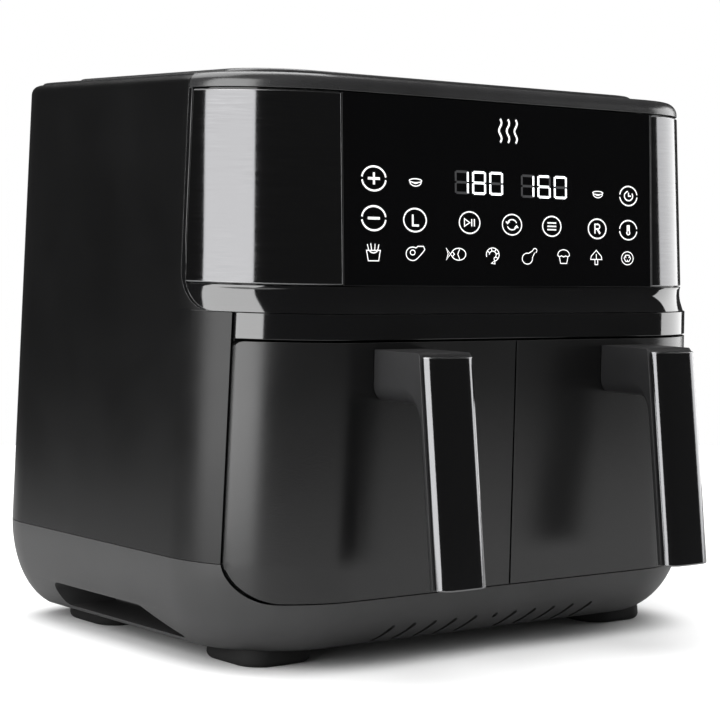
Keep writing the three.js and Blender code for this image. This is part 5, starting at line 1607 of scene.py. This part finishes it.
# %% Place the symbols on the glass
# Symbol, place across and up from the lower edge of the glass, half size, stroke width.
KEYS = (
    ("more", -94.5, 57, 6.4, 1.3), ("less", -94.8, 36, 6.4, 1.3), ("left drawer", -66.3, 35.6, 6.2, 1.1),
    ("start", -27.1, 35.1, 5.9, 0.95), ("match", 4.5, 34.6, 5.7, 0.9), ("menu", 35.1, 34.3, 5.6, 1.0),
    ("right drawer", 71.2, 33.6, 5.6, 1.1), ("timer", 97, 53.2, 5.6, 1.0),
    ("thermometer", 96.7, 33.3, 5.6, 1.0), ("bowl", -65.7, 56.4, 3.4, 0.75), ("bowl", 71.9, 53.9, 3.2, 0.75),
    ("fries", -95.3, 18.1, 4.6, 0.7), ("steak", -66.3, 18, 4.8, 0.7), ("fish", -37.7, 17.7, 5.4, 0.7),
    ("prawn", -10.2, 17.3, 4.4, 0.7), ("drumstick", 17.7, 17.2, 4.5, 0.7), ("muffin", 44.2, 17.2, 4.2, 0.7),
    ("mushroom", 70.3, 17, 4.2, 0.7), ("flatbread", 95.8, 16.9, 4.2, 0.7), ("warm air", 2, 86.5, 6.5, 1.6),
)
SYMBOL_STRETCH, STROKE_SCALE = 1.28, 0.78
# How much heavier than its circle the sign inside a key is. A circle has many points.
HEAVIER = {"more": 1.35, "less": 1.35, "left drawer": 1.3, "right drawer": 1.5, "thermometer": 1.5}
SIGN_POINTS = 12
symbol_strokes = []
for symbol, x, up, size, width in KEYS:
    for points, closed in SYMBOLS[symbol]:
        placed = [(x + px * size * SYMBOL_STRETCH, up + py * size) for px, py in points]
        weight = HEAVIER.get(symbol, 1) if len(points) < SIGN_POINTS else 1
        symbol_strokes.append((placed, width * STROKE_SCALE * weight, closed))
print_object("printed_symbols", symbol_strokes, LIT_WHITE)

# %% [markdown]
# ## Seven-segment digits
# Each drawer has its own display of three digits. A lit segment is bright, and an unlit one
# is still just visible in the dark window, as on the real part; here a faint painted glow
# makes it so. The classic segment letters a to g make any digit from seven bars.

# %% Digits
DIGIT_SEGMENTS = {"1": "bc", "8": "abcdefg", "0": "abcdef", "6": "acdefg"}
DIGIT_HALF, DIGIT_TALL, DIGIT_PITCH, SEGMENT, SEGMENT_GAP = 4.4, 5.8, 12.7, 1.3, 0.5


def segment_line(letter, x, up):
    a, b, n = DIGIT_HALF, DIGIT_TALL, SEGMENT_GAP
    ends = {
        "a": ((-a + n, b), (a - n, b)), "g": ((-a + n, 0), (a - n, 0)), "d": ((-a + n, -b), (a - n, -b)),
        "b": ((a, b), (a, n)), "c": ((a, -n), (a, -b)), "f": ((-a, b), (-a, n)), "e": ((-a, -n), (-a, -b)),
    }
    return [(x + across, up + high) for across, high in ends[letter]]


lit, unlit = [], []
for digits, first_x, up in (("180", -32.6, 57.0), ("160", 16.6, 56.4)):
    for k, digit in enumerate(digits):
        for letter in "abcdefg":
            line = (segment_line(letter, first_x + k * DIGIT_PITCH, up), SEGMENT, False)
            (lit if letter in DIGIT_SEGMENTS[digit] else unlit).append(line)
print_object("lit_segments", lit, LIT_DIGIT)
print_object("unlit_segments", unlit, UNLIT_DIGIT)

# %% [markdown]
# ## Floor, light and camera
# Black products are lit by what they reflect. A tall soft box stands at the left, a smaller
# one at the right, and a wide one hangs behind and above. Their edges end inside the curved
# corners. A broad overhead glow lights the floor and the matt parts, but gloss surfaces don't
# mirror it. Between the boxes the studio is dim, so the flat front stays black.

# %% Pale floor
FLOOR_RADIUS, FLOOR_MIDDLE = 1.1, (0.22, -0.1, 0)
bm = bmesh.new()
bmesh.ops.create_circle(bm, cap_ends=True, segments=96, radius=FLOOR_RADIUS,
                        matrix=Matrix.Translation(FLOOR_MIDDLE))
floor_mesh = bpy.data.meshes.new("pale_floor")
bm.to_mesh(floor_mesh)
bm.free()
floor = bpy.data.objects.new("pale_floor", floor_mesh)
bpy.context.scene.collection.objects.link(floor)
print("floor disc", len(floor_mesh.vertices), "corners")

# %% [markdown]
# The floor is pale paper. Seen straight it should be almost white, but mirrored in gloss
# plastic that white would wash out the black. A studio solves it with dark cards just out of
# sight. Here the Light Path node does the same: a gloss reflection meets darker paper.

# %% Paper finish of the floor
floor_mat, floor_tree, floor_shader = start_material("pale paper floor", Specular_IOR_Level=0.1)
dark_paper = node(floor_tree, "ShaderNodeBsdfPrincipled", in_roughness=0.9)
paper = use(floor_tree, CLOUDING, Size=3.0, Low=0.85, High=0.95)
pale_tone = mix_colour(floor_tree, paper.outputs["Mask"], [0.86] * 3, [0.88] * 3)
dark_tone = mix_colour(floor_tree, paper.outputs["Mask"], [0.42] * 3, [0.45] * 3)
floor_path = node(floor_tree, "ShaderNodeLightPath")
floor_mix = node(floor_tree, "ShaderNodeMixShader")
wire(floor_tree,
     (pale_tone, floor_shader.inputs["Base Color"]),
     (paper.outputs["Value"], floor_shader.inputs["Roughness"]),
     (dark_tone, dark_paper.inputs["Base Color"]),
     (floor_path.outputs["Is Glossy Ray"], floor_mix.inputs[0]),
     (floor_shader.outputs[0], floor_mix.inputs[1]),
     (dark_paper.outputs[0], floor_mix.inputs[2]),
     (floor_mix.outputs[0], floor_tree.nodes["Material Output"].inputs["Surface"]))
floor_mesh.materials.append(floor_mat)
print("floor finish:", floor_mat.name)

# %% Soft boxes
def soft_box(name, around, tall, wide, distance, height, power, aim_height):
    """A soft box at an angle round the machine, counted from its front towards its left."""
    angle = math.radians(around)
    light = bpy.data.lights.new(name, "AREA")
    light.shape = "RECTANGLE"
    light.size, light.size_y, light.energy = wide, tall, power
    lamp = bpy.data.objects.new(name, light)
    bpy.context.scene.collection.objects.link(lamp)
    lamp.location = (-math.sin(angle) * distance, -math.cos(angle) * distance, height)
    aim = Vector((0, 0, aim_height)) - lamp.location
    lamp.rotation_euler = aim.to_track_quat("-Z", "Y").to_euler()
    print(name, "at", tuple(round(c, 2) for c in lamp.location))


soft_box("left_soft_box", 81, 1.9, 1.26, 1.35, 0.75, 32, 0.75)
soft_box("right_soft_box", -80, 0.8, 0.95, 1.25, 0.42, 7.6, 0.42)
soft_box("roof_soft_box", 180, 0.9, 1.8, 0.7, 1.5, 15, 0.3)

# %% Overhead glow
GLOW_ANGLE, GLOW_POWER = math.radians(70), 3.75
glow = bpy.data.lights.new("overhead_glow", "SUN")
glow.angle, glow.energy = GLOW_ANGLE, GLOW_POWER
glow_lamp = bpy.data.objects.new("overhead_glow", glow)
glow_lamp.visible_glossy = False
bpy.context.scene.collection.objects.link(glow_lamp)

# %% World: pale to look at, dim to be lit by
WHITE = (1, 1, 1, 1)
world = bpy.data.worlds.new("studio")
bpy.context.scene.world = world
world.use_nodes = True
tree = world.node_tree
tree.nodes.clear()
out = node(tree, "ShaderNodeOutputWorld")
mix = node(tree, "ShaderNodeMixShader")
path = node(tree, "ShaderNodeLightPath")
dim = node(tree, "ShaderNodeBackground", in_color=WHITE, in_strength=0.05)
pale = node(tree, "ShaderNodeBackground", in_color=WHITE, in_strength=1.0)
wire(tree, (path.outputs["Is Camera Ray"], mix.inputs[0]), (dim.outputs[0], mix.inputs[1]),
     (pale.outputs[0], mix.inputs[2]), (mix.outputs[0], out.inputs["Surface"]))
bpy.context.scene.view_settings.view_transform = "Standard"
print("world nodes:", len(tree.nodes))

# %% [markdown]
# A long lens from some distance keeps the uprights nearly parallel, as product pictures do.
# The camera could be turned by hand until it looks right. Given as a heading, a pitch and a
# roll round one target, it can be read and changed later.

# %% Camera
AZIMUTH, PITCH, ROLL = math.radians(38.9), math.radians(3.43), math.radians(1.41)
TARGET, DISTANCE, LENS = Vector((0.002, 0.032, 0.1551)), 1.3135, 108.65
forward = Vector((math.sin(AZIMUTH) * math.cos(PITCH), math.cos(AZIMUTH) * math.cos(PITCH), -math.sin(PITCH)))
level_right = Vector((math.cos(AZIMUTH), -math.sin(AZIMUTH), 0))
level_up = level_right.cross(forward)
right = level_right * math.cos(ROLL) + level_up * math.sin(ROLL)
up = level_up * math.cos(ROLL) - level_right * math.sin(ROLL)
camera_data = bpy.data.cameras.new("camera")
camera_data.lens, camera_data.sensor_width = LENS, 36
camera = bpy.data.objects.new("camera", camera_data)
bpy.context.scene.collection.objects.link(camera)
turn = Matrix((right, up, -forward)).transposed().to_4x4()
camera.matrix_world = Matrix.Translation(TARGET - forward * DISTANCE) @ turn
bpy.context.scene.camera = camera
print("camera at", tuple(round(c, 3) for c in camera.matrix_world.translation))
